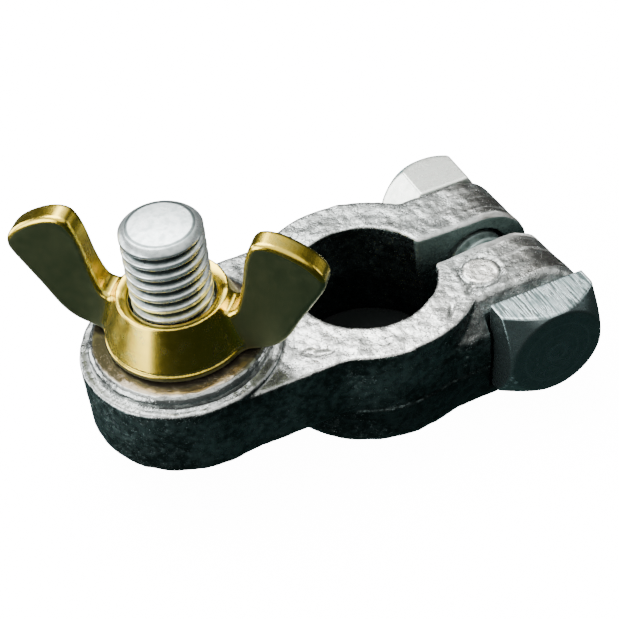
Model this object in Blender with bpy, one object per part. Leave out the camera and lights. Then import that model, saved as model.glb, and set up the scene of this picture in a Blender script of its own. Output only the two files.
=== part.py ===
"""Battery-post clamp with a cable stud and a wing nut.

A soft lead casting: a ring with a tapered bore for the battery post, split between
two ears at one end, and an arm to a round pad at the other. A square-headed pinch
bolt and a hex nut draw the ears together, a threaded stud stands in the pad, and a
brass wing nut on the stud holds a cable lug down.

Metres, +Z up. The part stands on the ring's bottom face at Z = 0 with the origin
under the middle of its bounding box, +X runs from the pad to the ears, and the head
of the pinch bolt is at -Y. Shapes are drawn about the bore's axis, with Z = 0 at the
casting's top face, and one empty carries them to their place.

The ring bends when the bolt is tightened. The casting is drawn as two pieces that
meet at a split in the ring's far wall, and the far one turns about the split's inner
edge in place of that bending.
"""

import math

import bmesh
import bpy
from mathutils import Matrix, Vector

# The bore's axis and the casting's top face, in the part's own frame.
BORE_X = 0.006711
BORE_Y = -0.000875
BODY_HEIGHT = 0.0149

# Ring and bore. The bore widens downwards by 1 in 9, as a battery post does.
RING_RADIUS = 0.01385
BORE_TOP_RADIUS = 0.00872
BORE_TAPER = 1 / 9
CORE_RADIUS = 0.0060
GAP = 0.0003

# Flange above the parting line, and the lower part, which is set in from it.
FLANGE_DEPTH = 0.0088
LOWER_INSET = 0.0002

# Arm and pad.
STUD_X = -0.0236
PAD_RADIUS = 0.0119
ARM_NEAR_Y = -0.0116
ARM_FAR_Y = 0.0112
PAD_RIM_RISE = 0.0006
PAD_RIM_EDGE = 0.0005
DISC_RADIUS = 0.0108
DISC_RISE = 0.0022
DISC_EDGE_RADIUS = 0.0010

# Ears and slit. The slit narrows towards the ears' ends.
EAR_END_X = 0.0240
EAR_END_SPARE = 0.0012
EAR_END_RADIUS = 0.0062
EAR_END_TURN = math.radians(4)
EAR_DEPTH = 0.0143
NEAR_FACE_Y = -0.0131
FAR_FACE_Y = 0.0098
SLIT_HALF_AT_AXIS = 0.00246
SLIT_NARROWING = 0.0371
SLOPE_TOP_Y = -0.0099
SLOPE_DEPTH = 0.0042

# Pinch bolt: 5/16 inch with 18 threads to the inch, and a square head.
BOLT_X = 0.01675
BOLT_Z = -0.00625
BOLT_RADIUS = 0.00390
HEAD_ACROSS = 0.0124
HEAD_THICKNESS = 0.0053
HEAD_DISC_RADIUS = 0.00594
HEAD_SEAT_Y = -0.01145
HEAD_CLEARANCE = 0.0003
BOLT_END_Y = 0.0188
BOLT_CHAMFER = 0.0008
NEAR_HOLE_RADIUS = 0.0043
FAR_HOLE_RADIUS = 0.0048

# Pinch nut.
NUT_ACROSS = 0.0119
NUT_THICKNESS = 0.0071
NUT_DISC_RADIUS = 0.0057
NUT_CROWN_SLOPE = 1.0
NUT_HOLE_RADIUS = 0.0045

# Stud: 3/8 inch with 16 threads to the inch, with a hex head under the pad.
STUD_RADIUS = 0.00470
STUD_TOP_Z = 0.0184
STUD_CHAMFER = 0.0009
STUD_HEAD_ACROSS = 0.0143
STUD_HEAD_THICKNESS = 0.0052

# Wing nut.
WING_HEADING = math.radians(-40.5)
HUB_BASE_RADIUS = 0.0084
HUB_TOP_RADIUS = 0.0063
HUB_RIM_HEIGHT = 0.0009
HUB_HEIGHT = 0.0062
HUB_MOUTH_RADIUS = 0.0054
WING_THICKNESS = 0.0029
WING_ROOT_RADIUS = 0.0055

# The split that stands in for the ring's bending.
SPLIT_ANGLE = math.radians(110)

STEPS_PER_TURN = 72

# How far a cutter runs past the faces it opens, and how deep an added piece is sunk.
SPARE = 0.002
SUNK = 0.001

# Beyond every piece of the clamp, on either side.
REACH = 0.05

# A crown's cutter stands this far off the flats that it must leave alone.
CLEAR = 0.0001


def slit_half_width(x):
    """Half the slit's width at this distance from the bore's axis."""
    return SLIT_HALF_AT_AXIS - SLIT_NARROWING * x


def arc(centre, radius, start, end):
    """Points along an arc in plan, both ends included. Angles are in radians."""
    steps = max(2, round(abs(end - start) / math.tau * STEPS_PER_TURN))
    angles = [start + (end - start) * step / steps for step in range(steps + 1)]
    return [
        (centre[0] + radius * math.cos(angle), centre[1] + radius * math.sin(angle))
        for angle in angles
    ]


def new_object(name, mesh_builder, origin=(0, 0, 0)):
    """An object at an origin, whose mesh is drawn about the bore's axis."""
    bm = bmesh.new()
    mesh_builder(bm)
    bmesh.ops.remove_doubles(bm, verts=bm.verts, dist=1e-6)
    bmesh.ops.recalc_face_normals(bm, faces=bm.faces)
    bm.transform(Matrix.Translation(-Vector(origin)))
    mesh = bpy.data.meshes.new(name)
    bm.to_mesh(mesh)
    bm.free()
    obj = bpy.data.objects.new(name, mesh)
    obj.location = origin
    bpy.context.scene.collection.objects.link(obj)
    return obj


def prism(outline, low, high):
    """A mesh builder: a plan outline extruded from one height to another."""

    def build(bm):
        face = bm.faces.new([bm.verts.new((x, y, low)) for x, y in outline])
        made = bmesh.ops.extrude_face_region(bm, geom=[face])["geom"]
        moved = [item for item in made if isinstance(item, bmesh.types.BMVert)]
        bmesh.ops.translate(bm, vec=(0, 0, high - low), verts=moved)

    return build


def side_prism(outline, near, far):
    """A mesh builder: an (x, z) outline extruded along Y."""

    def build(bm):
        prism(outline, -far, -near)(bm)
        bm.transform(Matrix.Rotation(math.radians(90), 4, "X"))

    return build


def end_prism(outline, left, right):
    """A mesh builder: a (y, z) outline extruded along X."""

    def build(bm):
        prism(outline, left, right)(bm)
        bm.transform(Matrix(((0, 0, 1, 0), (1, 0, 0, 0), (0, 1, 0, 0), (0, 0, 0, 1))))

    return build


def turned(profile, centre=(0, 0), steps=STEPS_PER_TURN):
    """A mesh builder: a (radius, z) profile spun about a vertical axis."""

    def build(bm):
        points = [bm.verts.new((centre[0] + radius, centre[1], z)) for radius, z in profile]
        edges = [bm.edges.new(pair) for pair in zip(points, points[1:])]
        bmesh.ops.spin(
            bm,
            geom=points + edges,
            cent=(centre[0], centre[1], 0),
            axis=(0, 0, 1),
            angle=math.tau,
            steps=steps,
            use_merge=True,
        )

    return build


def turned_along_y(profile, centre, steps=STEPS_PER_TURN):
    """A mesh builder: a (radius, y) profile spun about an axis along Y."""

    def build(bm):
        turned([(radius, -y) for radius, y in profile], steps=steps)(bm)
        bm.transform(Matrix.Rotation(math.radians(90), 4, "X"))
        bm.transform(Matrix.Translation((centre[0], 0, centre[1])))

    return build


def cutter(name, mesh_builder):
    """A helper solid that takes part only in Booleans."""
    obj = new_object(name, mesh_builder)
    obj.hide_render = True
    obj.display_type = "WIRE"
    return obj


def combine(target, operation, *others):
    """Adds one Boolean modifier for each of the other solids."""
    for other in others:
        modifier = target.modifiers.new(f"{operation.lower()} {other.name}", "BOOLEAN")
        modifier.operation = operation
        modifier.object = other


def polygon_outline(centre, across_flats, sides, turn):
    """A regular polygon's corners, given its size across the flats."""
    radius = across_flats / 2 / math.cos(math.pi / sides)
    angles = [turn + math.tau * side / sides for side in range(sides)]
    return [
        (centre[0] + radius * math.cos(angle), centre[1] + radius * math.sin(angle))
        for angle in angles
    ]


def near_outline():
    """Plan of the pad, the arm, the near half of the ring and the near ear."""
    half_gap = math.asin(GAP / 2 / RING_RADIUS)
    core_gap = math.asin(GAP / 2 / CORE_RADIUS)
    far_meet = math.pi - math.asin(ARM_FAR_Y / RING_RADIUS)
    near_meet = math.pi + math.asin(-ARM_NEAR_Y / RING_RADIUS)
    pad_start = math.asin(ARM_FAR_Y / PAD_RADIUS)
    pad_end = math.tau + math.asin(ARM_NEAR_Y / PAD_RADIUS)
    shoulder = math.tau - math.asin(-NEAR_FACE_Y / RING_RADIUS)
    slit = math.asin(slit_half_width(CORE_RADIUS) / CORE_RADIUS)
    end_x = EAR_END_X + EAR_END_SPARE
    return (
        arc((0, 0), RING_RADIUS, SPLIT_ANGLE + half_gap, far_meet)
        + arc((STUD_X, 0), PAD_RADIUS, pad_start, pad_end)
        + arc((0, 0), RING_RADIUS, near_meet, shoulder)
        + [(end_x, NEAR_FACE_Y), (end_x, -slit_half_width(end_x))]
        + arc((0, 0), CORE_RADIUS, math.tau - slit, SPLIT_ANGLE + core_gap)
    )


def far_outline():
    """Plan of the far part of the ring and the far ear."""
    half_gap = math.asin(GAP / 2 / RING_RADIUS)
    core_gap = math.asin(GAP / 2 / CORE_RADIUS)
    ear_meet = math.asin(FAR_FACE_Y / RING_RADIUS)
    slit = math.asin(slit_half_width(CORE_RADIUS) / CORE_RADIUS)
    end_x = EAR_END_X + EAR_END_SPARE
    return (
        [(end_x, slit_half_width(end_x)), (end_x, FAR_FACE_Y)]
        + arc((0, 0), RING_RADIUS, ear_meet, SPLIT_ANGLE - half_gap)
        + arc((0, 0), CORE_RADIUS, SPLIT_ANGLE - core_gap, slit)
    )


def bore_cutter():
    """The post's taper, run past both faces."""
    bottom = -BODY_HEIGHT - SPARE
    low = BORE_TOP_RADIUS - bottom * BORE_TAPER / 2
    high = BORE_TOP_RADIUS - SPARE * BORE_TAPER / 2
    return cutter("bore_cut", turned([(0, SPARE), (high, SPARE), (low, bottom), (0, bottom)]))


def lower_cutter():
    """What stands outside the lower part, below the parting line."""
    radius = RING_RADIUS - LOWER_INSET
    near_y = NEAR_FACE_Y + LOWER_INSET
    far_y = FAR_FACE_Y - LOWER_INSET
    start = math.asin(far_y / radius)
    end = math.tau - math.asin(-near_y / radius)
    outline = (
        [(REACH, far_y)]
        + arc((0, 0), radius, start, end)
        + [(REACH, near_y), (REACH, -REACH), (-REACH, -REACH), (-REACH, REACH), (REACH, REACH)]
    )
    return cutter("lower_cut", prism(outline, -BODY_HEIGHT - SPARE, -FLANGE_DEPTH))


def ear_bottom_cutter(ring):
    """The ears' underside, a little above the ring's."""
    outline = [(0, -REACH), (REACH, -REACH), (REACH, REACH), (0, REACH)]
    obj = cutter("ear_bottom_cut", prism(outline, -BODY_HEIGHT - SPARE, -EAR_DEPTH))
    combine(obj, "DIFFERENCE", ring)
    return obj


def slope_cutter(ring):
    """The near block's sloping top, which stops against the ring."""
    rise = SLOPE_DEPTH / (SLOPE_TOP_Y - NEAR_FACE_Y)
    outline = [
        (SLOPE_TOP_Y + SPARE, SPARE * rise),
        (NEAR_FACE_Y - SPARE, -SLOPE_DEPTH - SPARE * rise),
        (NEAR_FACE_Y - SPARE, SPARE * rise),
    ]
    obj = cutter("slope_cut", end_prism(outline, SUNK, REACH))
    combine(obj, "DIFFERENCE", ring)
    return obj


def recess_cutter():
    """The seat that keeps the square head from turning. It is open on top and at the end."""
    left = BOLT_X - HEAD_ACROSS / 2 - HEAD_CLEARANCE
    bottom = BOLT_Z - HEAD_ACROSS / 2 - HEAD_CLEARANCE
    outline = [(left, bottom), (REACH, bottom), (REACH, SPARE), (left, SPARE)]
    return cutter("recess_cut", side_prism(outline, NEAR_FACE_Y - SPARE, HEAD_SEAT_Y))


def ear_end_cutter():
    """Rounds the ears' ends down from the top face, and cuts them off at a slight angle.

    The curve stops just short of the top face and of the end, so that it crosses both.
    """
    centre = (EAR_END_X - EAR_END_RADIUS, -EAR_END_RADIUS)
    curve = arc(centre, EAR_END_RADIUS, math.radians(86), math.radians(2))
    outline = curve + [(EAR_END_X, -REACH), (REACH, -REACH), (REACH, SPARE), (curve[0][0], SPARE)]
    obj = cutter("ear_end_cut", side_prism(outline, -REACH, REACH))
    obj.data.transform(Matrix.Rotation(EAR_END_TURN, 4, "Z"))
    return obj


def hole_cutter(name, radius, near, far):
    """A round hole along the pinch bolt's axis."""
    profile = [(0, near), (radius, near), (radius, far), (0, far)]
    return cutter(name, turned_along_y(profile, (BOLT_X, BOLT_Z), steps=48))


def pad_top_profile():
    """The pad's raised disc, whose edge is rounded, and the lower rim round it."""
    corner = (DISC_RADIUS - DISC_EDGE_RADIUS, DISC_RISE - DISC_EDGE_RADIUS)
    edge = arc(corner, DISC_EDGE_RADIUS, math.radians(90), 0)
    outer = PAD_RADIUS - CLEAR / 2
    low = -FLANGE_DEPTH / 2
    rim = [(DISC_RADIUS, PAD_RIM_RISE), (outer - PAD_RIM_EDGE, PAD_RIM_RISE), (outer, 0)]
    return [(0, DISC_RISE)] + edge + rim + [(outer, low), (0, low)]


def stud_pocket():
    """The hole for the stud, with a hex pocket for its head under the pad."""
    radius = STUD_RADIUS + GAP
    high = DISC_RISE + SPARE
    low = -FLANGE_DEPTH - SPARE / 2
    hole = [(0, high), (radius, high), (radius, low), (0, low)]
    outline = polygon_outline((STUD_X, 0), STUD_HEAD_ACROSS + 2 * GAP, 6, 0)
    top = -FLANGE_DEPTH + STUD_HEAD_THICKNESS + 2 * GAP
    pocket = cutter("stud_pocket_cut", prism(outline, -FLANGE_DEPTH - SPARE, top))
    combine(pocket, "UNION", cutter("stud_hole_add", turned(hole, (STUD_X, 0), steps=40)))
    return pocket


def make_casting():
    """Both pieces of the casting: the clamp body and the far jaw."""
    circle = arc((0, 0), RING_RADIUS, 0, math.tau)[:-1]
    ring = cutter("ring_guide", prism(circle, -BODY_HEIGHT - 2 * SPARE, 2 * SPARE))
    shared = (bore_cutter(), lower_cutter(), ear_bottom_cutter(ring), ear_end_cutter())
    pivot = split_pivot()
    body = new_object("clamp_body", prism(near_outline(), -BODY_HEIGHT, 0))
    pad_top = cutter("pad_top_add", turned(pad_top_profile(), (STUD_X, 0)))
    near_hole = hole_cutter("near_hole_cut", NEAR_HOLE_RADIUS, NEAR_FACE_Y - SPARE, 0)
    combine(body, "DIFFERENCE", *shared, slope_cutter(ring), recess_cutter(), near_hole)
    combine(body, "UNION", pad_top)
    combine(body, "DIFFERENCE", stud_pocket())
    jaw = new_object("far_jaw", prism(far_outline(), -BODY_HEIGHT, 0), pivot)
    far_hole = hole_cutter("far_hole_cut", FAR_HOLE_RADIUS, 0, FAR_FACE_Y + SPARE)
    combine(jaw, "DIFFERENCE", *shared, far_hole)
    return body, jaw


def split_pivot():
    """The split's inner edge, which the far jaw turns about."""
    return (BORE_TOP_RADIUS * math.cos(SPLIT_ANGLE), BORE_TOP_RADIUS * math.sin(SPLIT_ANGLE), 0)


def make_stud():
    """The terminal stud, from its head's underside to its chamfered end."""
    bottom = -FLANGE_DEPTH + GAP
    head_top = bottom + STUD_HEAD_THICKNESS
    shank = [(0, bottom + SUNK), (STUD_RADIUS, bottom + SUNK)]
    shank += [(STUD_RADIUS, STUD_TOP_Z - STUD_CHAMFER)]
    shank += [(STUD_RADIUS - STUD_CHAMFER, STUD_TOP_Z), (0, STUD_TOP_Z)]
    stud = new_object("terminal_stud", turned(shank, (STUD_X, 0), steps=48), (STUD_X, 0, 0))
    outline = polygon_outline((STUD_X, 0), STUD_HEAD_ACROSS, 6, 0)
    combine(stud, "UNION", cutter("stud_head_add", prism(outline, bottom, head_top)))
    return stud


def make_bolt():
    """The pinch bolt, whose head is crowned at 45 degrees."""
    seat = HEAD_SEAT_Y - GAP
    front = seat - HEAD_THICKNESS
    outline = polygon_outline((BOLT_X, BOLT_Z), HEAD_ACROSS, 4, math.radians(45))
    bolt = new_object("pinch_bolt", side_prism(outline, front, seat), (BOLT_X, 0, BOLT_Z))
    corner = HEAD_ACROSS / 2 * math.sqrt(2) + CLEAR
    crown = [(0, front - CLEAR), (HEAD_DISC_RADIUS - CLEAR, front - CLEAR)]
    crown += [(corner, front + corner - HEAD_DISC_RADIUS), (corner, seat + SPARE), (0, seat + SPARE)]
    shank = [(0, seat - SUNK), (BOLT_RADIUS, seat - SUNK), (BOLT_RADIUS, BOLT_END_Y - BOLT_CHAMFER)]
    shank += [(BOLT_RADIUS - BOLT_CHAMFER, BOLT_END_Y), (0, BOLT_END_Y)]
    centre = (BOLT_X, BOLT_Z)
    combine(bolt, "INTERSECT", cutter("head_crown", turned_along_y(crown, centre)))
    combine(bolt, "UNION", cutter("bolt_shank_add", turned_along_y(shank, centre, steps=48)))
    return bolt


def make_pinch_nut():
    """The hex nut on the far ear, one flat up and crowned at its outer end."""
    near = FAR_FACE_Y + GAP
    far = near + NUT_THICKNESS
    outline = polygon_outline((BOLT_X, BOLT_Z), NUT_ACROSS, 6, 0)
    nut = new_object("pinch_nut", side_prism(outline, near, far), (BOLT_X, near, BOLT_Z))
    corner = NUT_ACROSS / math.sqrt(3) + CLEAR
    drop = (corner - NUT_DISC_RADIUS) * NUT_CROWN_SLOPE
    above = far + CLEAR * NUT_CROWN_SLOPE
    crown = [(0, near - SPARE), (corner, near - SPARE), (corner, far - drop)]
    crown += [(NUT_DISC_RADIUS - CLEAR, above), (0, above)]
    hole = hole_cutter("nut_hole_cut", NUT_HOLE_RADIUS, near - SPARE, far + SPARE)
    combine(nut, "INTERSECT", cutter("nut_crown", turned_along_y(crown, (BOLT_X, BOLT_Z))))
    combine(nut, "DIFFERENCE", hole)
    return nut


def wing_outline():
    """One wing in (distance from the stud's axis, height above the nut's seat)."""
    return [
        (WING_ROOT_RADIUS, 0.0002),
        (0.0092, 0.0002),
        (0.0115, 0.0008),
        (0.0134, 0.0025),
        (0.0151, 0.0055),
        (0.0166, 0.0080),
        (0.0179, 0.0102),
        (0.0182, 0.0112),
        (0.0179, 0.0124),
        (0.0166, 0.0138),
        (0.0148, 0.0149),
        (0.0130, 0.0156),
        (0.0115, 0.0157),
        (0.0105, 0.0151),
        (0.0097, 0.0130),
        (0.0090, 0.0092),
        (0.0081, 0.0062),
        (0.0069, 0.0054),
        (WING_ROOT_RADIUS, 0.0054),
    ]


def make_wing(name, side, seat):
    """One wing as a helper solid, on the stud's axis and turned to the wings' heading."""
    outline = [(side * distance, seat + height) for distance, height in wing_outline()]
    half = WING_THICKNESS / 2
    obj = cutter(name, side_prism(outline[::side], -half, half))
    obj.data.transform(Matrix.Rotation(WING_HEADING, 4, "Z"))
    obj.data.transform(Matrix.Translation((STUD_X, 0, 0)))
    return obj


def make_wing_nut():
    """The wing nut: a conical hub on a short rim, and two flat wings."""
    seat = DISC_RISE + GAP
    hole = STUD_RADIUS + GAP
    hub = [(hole, seat), (HUB_BASE_RADIUS, seat), (HUB_BASE_RADIUS, seat + HUB_RIM_HEIGHT)]
    hub += [(HUB_TOP_RADIUS, seat + HUB_HEIGHT), (HUB_MOUTH_RADIUS, seat + HUB_HEIGHT)]
    hub += [(hole, seat + HUB_HEIGHT - HUB_MOUTH_RADIUS + hole), (hole, seat)]
    nut = new_object("wing_nut", turned(hub, (STUD_X, 0)), (STUD_X, 0, seat))
    for side, name in ((1, "near_wing_add"), (-1, "far_wing_add")):
        combine(nut, "UNION", make_wing(name, side, seat))
    return nut


def material(name, colour, roughness):
    """A plain metal."""
    made = bpy.data.materials.new(name)
    made.use_nodes = True
    shader = made.node_tree.nodes["Principled BSDF"]
    shader.inputs["Base Color"].default_value = (*colour, 1)
    shader.inputs["Metallic"].default_value = 1
    shader.inputs["Roughness"].default_value = roughness
    return made


def finish(obj, metal, frame):
    """Gives a piece its metal and shading, and hangs it from the frame."""
    obj.data.materials.append(metal)
    obj.data.shade_smooth()
    obj.data.set_sharp_from_angle(angle=math.radians(30))
    obj.parent = frame


def main():
    for obj in list(bpy.data.objects):
        bpy.data.objects.remove(obj, do_unlink=True)
    frame = bpy.data.objects.new("clamp_frame", None)
    frame.location = (BORE_X, BORE_Y, BODY_HEIGHT)
    bpy.context.scene.collection.objects.link(frame)
    lead = material("lead", (0.55, 0.56, 0.55), 0.45)
    zinc = material("zinc_plate", (0.72, 0.76, 0.76), 0.3)
    brass = material("brass", (0.72, 0.55, 0.22), 0.3)
    body, jaw = make_casting()
    for obj, metal in (
        (body, lead),
        (jaw, lead),
        (make_stud(), zinc),
        (make_bolt(), zinc),
        (make_pinch_nut(), zinc),
        (make_wing_nut(), brass),
    ):
        finish(obj, metal, frame)
    for obj in bpy.data.objects:
        if obj.hide_render:
            obj.parent = frame


main()
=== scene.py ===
"""Looks of a battery-post clamp: a lead casting, a threaded stud, a wing nut and a pinch bolt.

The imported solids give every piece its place. Each shape here is drawn about the bore's
axis, with Z = 0 at the casting's top face, +X towards the ears and -Y towards the pinch
bolt's head. The finished shape is then moved to the part's own frame. Sizes are in metres.

Cast and forged shapes are distance functions, meshed on a grid: negative inside, positive
outside. They round and blend as the real pieces do. Threads are made by Geometry Nodes.
"""

import logging
import math
from collections.abc import Callable, Sequence
from dataclasses import dataclass
from enum import Enum

import bmesh
import bpy
import numpy as np
from mathutils import Matrix, Vector


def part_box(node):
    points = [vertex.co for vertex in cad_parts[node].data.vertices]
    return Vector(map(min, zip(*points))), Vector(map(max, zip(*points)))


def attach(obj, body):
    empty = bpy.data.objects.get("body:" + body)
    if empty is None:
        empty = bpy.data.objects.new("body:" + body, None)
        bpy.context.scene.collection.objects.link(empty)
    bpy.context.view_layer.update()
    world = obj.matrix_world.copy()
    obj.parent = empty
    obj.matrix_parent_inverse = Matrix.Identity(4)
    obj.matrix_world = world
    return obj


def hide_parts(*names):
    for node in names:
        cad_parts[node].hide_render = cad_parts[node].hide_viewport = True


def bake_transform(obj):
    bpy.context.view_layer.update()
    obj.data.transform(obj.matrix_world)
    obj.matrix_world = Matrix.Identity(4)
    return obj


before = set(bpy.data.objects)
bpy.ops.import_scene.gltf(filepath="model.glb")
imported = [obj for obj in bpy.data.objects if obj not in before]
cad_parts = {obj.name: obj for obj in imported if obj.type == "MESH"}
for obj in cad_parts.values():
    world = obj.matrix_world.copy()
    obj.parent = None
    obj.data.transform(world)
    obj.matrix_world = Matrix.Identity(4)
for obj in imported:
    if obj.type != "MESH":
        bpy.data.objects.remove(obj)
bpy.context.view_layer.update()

log = logging.getLogger("clamp")

Distance = Callable[[np.ndarray], np.ndarray]
Socket = bpy.types.NodeSocket

# Turns a hex so that two of its flats face along its second axis.
HEX_TURN = math.radians(30)
# Room that is left round a shape when it is meshed.
MARGIN = 0.0006


class Body(Enum):
    """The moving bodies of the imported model."""

    CLAMP = "clamp"
    JAW = "jaw"
    NUT = "nut"
    WINGS = "wings"


class Slot(Enum):
    """The record's material slots."""

    LEAD = "lead"
    ZINC = "zinc_plate"
    BRASS = "brass"


# --- Where things are ----------------------------------------------------------------


@dataclass(frozen=True)
class Bench:
    """Carries shapes drawn about the bore's axis into the part's own frame."""

    bore_to_stud: float = 0.0236

    @property
    def origin(self) -> Vector:
        """The point on the bore's axis at the height of the casting's top face.

        Returns:
            The point, in the part's frame.
        """
        low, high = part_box("terminal_stud")
        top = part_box("far_jaw")[1].z
        return Vector(((low.x + high.x) / 2 + self.bore_to_stud, (low.y + high.y) / 2, top))

    def carry(self, points: np.ndarray) -> np.ndarray:
        """Moves points from the bore's frame to the part's.

        Args:
            points: An array of shape (n, 3), in metres.

        Returns:
            The same points in the part's frame.
        """
        return points + np.array(self.origin)


# --- Distance functions --------------------------------------------------------------


def smooth_max(first: np.ndarray, second: np.ndarray, blend: float) -> np.ndarray:
    """The larger of two distances, rounded where they cross.

    Args:
        first: Distances to one shape.
        second: Distances to the other.
        blend: How far from the crossing the rounding reaches.

    Returns:
        Distances to what the two shapes share.
    """
    share = np.clip(0.5 + 0.5 * (first - second) / blend, 0, 1)
    return second + (first - second) * share + blend * share * (1 - share)


def smooth_min(first: np.ndarray, second: np.ndarray, blend: float) -> np.ndarray:
    """The smaller of two distances, with a fillet where they cross.

    Args:
        first: Distances to one shape.
        second: Distances to the other.
        blend: How far from the crossing the fillet reaches.

    Returns:
        Distances to the two shapes together.
    """
    return -smooth_max(-first, -second, blend)


def rounded_extrusion(plan: np.ndarray, rise: np.ndarray, radius: float) -> np.ndarray:
    """Distances to an extruded outline whose edge is rounded.

    Args:
        plan: Distances to the outline, across the extrusion.
        rise: Distances to its end face, along the extrusion.
        radius: The rounded edge's radius.

    Returns:
        Distances to the extrusion.
    """
    across = plan + radius
    along = rise + radius
    outside = np.hypot(np.maximum(across, 0), np.maximum(along, 0))
    return outside + np.minimum(np.maximum(across, along), 0) - radius


def polygon_distance(x: np.ndarray, y: np.ndarray, outline: Sequence[tuple[float, float]]) -> np.ndarray:
    """Distances to a closed polygon in a plane.

    Args:
        x: The points' first coordinate.
        y: The points' second coordinate.
        outline: The polygon's corners, in order.

    Returns:
        Distances to the polygon.
    """
    nearest = np.full(x.shape, np.inf)
    inside = np.zeros(x.shape, bool)
    for (ax, ay), (bx, by) in zip(outline, (*outline[1:], outline[0])):
        edge_x, edge_y = bx - ax, by - ay
        share = ((x - ax) * edge_x + (y - ay) * edge_y) / (edge_x**2 + edge_y**2)
        share = np.clip(share, 0, 1)
        gap = np.hypot(x - ax - share * edge_x, y - ay - share * edge_y)
        nearest = np.minimum(nearest, gap)
        crosses = (ay > y) != (by > y)
        if edge_y != 0:
            inside ^= crosses & (x < ax + (y - ay) * edge_x / edge_y)
    return np.where(inside, -nearest, nearest)


def regular_polygon(x: np.ndarray, y: np.ndarray, across: float, sides: int, turn: float) -> np.ndarray:
    """Distances to a bar with flat sides, such as a bolt's head.

    Args:
        x: The points' first coordinate, from the bar's middle.
        y: The points' second coordinate, from the bar's middle.
        across: The bar's size across its flats.
        sides: How many flats it has.
        turn: The direction that its first flat faces, in radians.

    Returns:
        Distances to the bar's sides.
    """
    flats = [
        x * math.cos(turn + math.tau * side / sides) + y * math.sin(turn + math.tau * side / sides)
        for side in range(sides)
    ]
    return np.max(flats, axis=0) - across / 2


def smooth_outline(corners: Sequence[tuple[float, float]], steps: int) -> list[tuple[float, float]]:
    """A closed curve that passes through every corner.

    Args:
        corners: The corners, in order.
        steps: How many points stand for each stretch between two corners.

    Returns:
        The curve's points.
    """
    around = [np.array(corner) for corner in corners]
    curve = []
    for number in range(len(around)):
        before, first, last, after = (around[(number + shift) % len(around)] for shift in (-1, 0, 1, 2))
        for step in range(steps):
            t = step / steps
            point = 0.5 * (
                2 * first
                + (last - before) * t
                + (2 * before - 5 * first + 4 * last - after) * t**2
                + (3 * first - before - 3 * last + after) * t**3
            )
            curve.append((float(point[0]), float(point[1])))
    return curve


@dataclass(frozen=True)
class Unevenness:
    """Soft random relief, the same on each run."""

    seed: int
    size: float
    cells: int = 32

    def at(self, points: np.ndarray) -> np.ndarray:
        """The relief at each point.

        Args:
            points: An array of shape (n, 3), in metres.

        Returns:
            One number for each point, from -1 to 1.
        """
        lattice = np.random.default_rng(self.seed).uniform(-1, 1, (self.cells,) * 3)
        scaled = points / self.size + 1000
        corner = np.floor(scaled).astype(int)
        share = scaled - corner
        share = share * share * (3 - 2 * share)
        total = np.zeros(len(points))
        for step in np.ndindex(2, 2, 2):
            index = (corner + step) % self.cells
            weight = np.prod(np.where(step, share, 1 - share), axis=1)
            total += weight * lattice[index[:, 0], index[:, 1], index[:, 2]]
        return total


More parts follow.
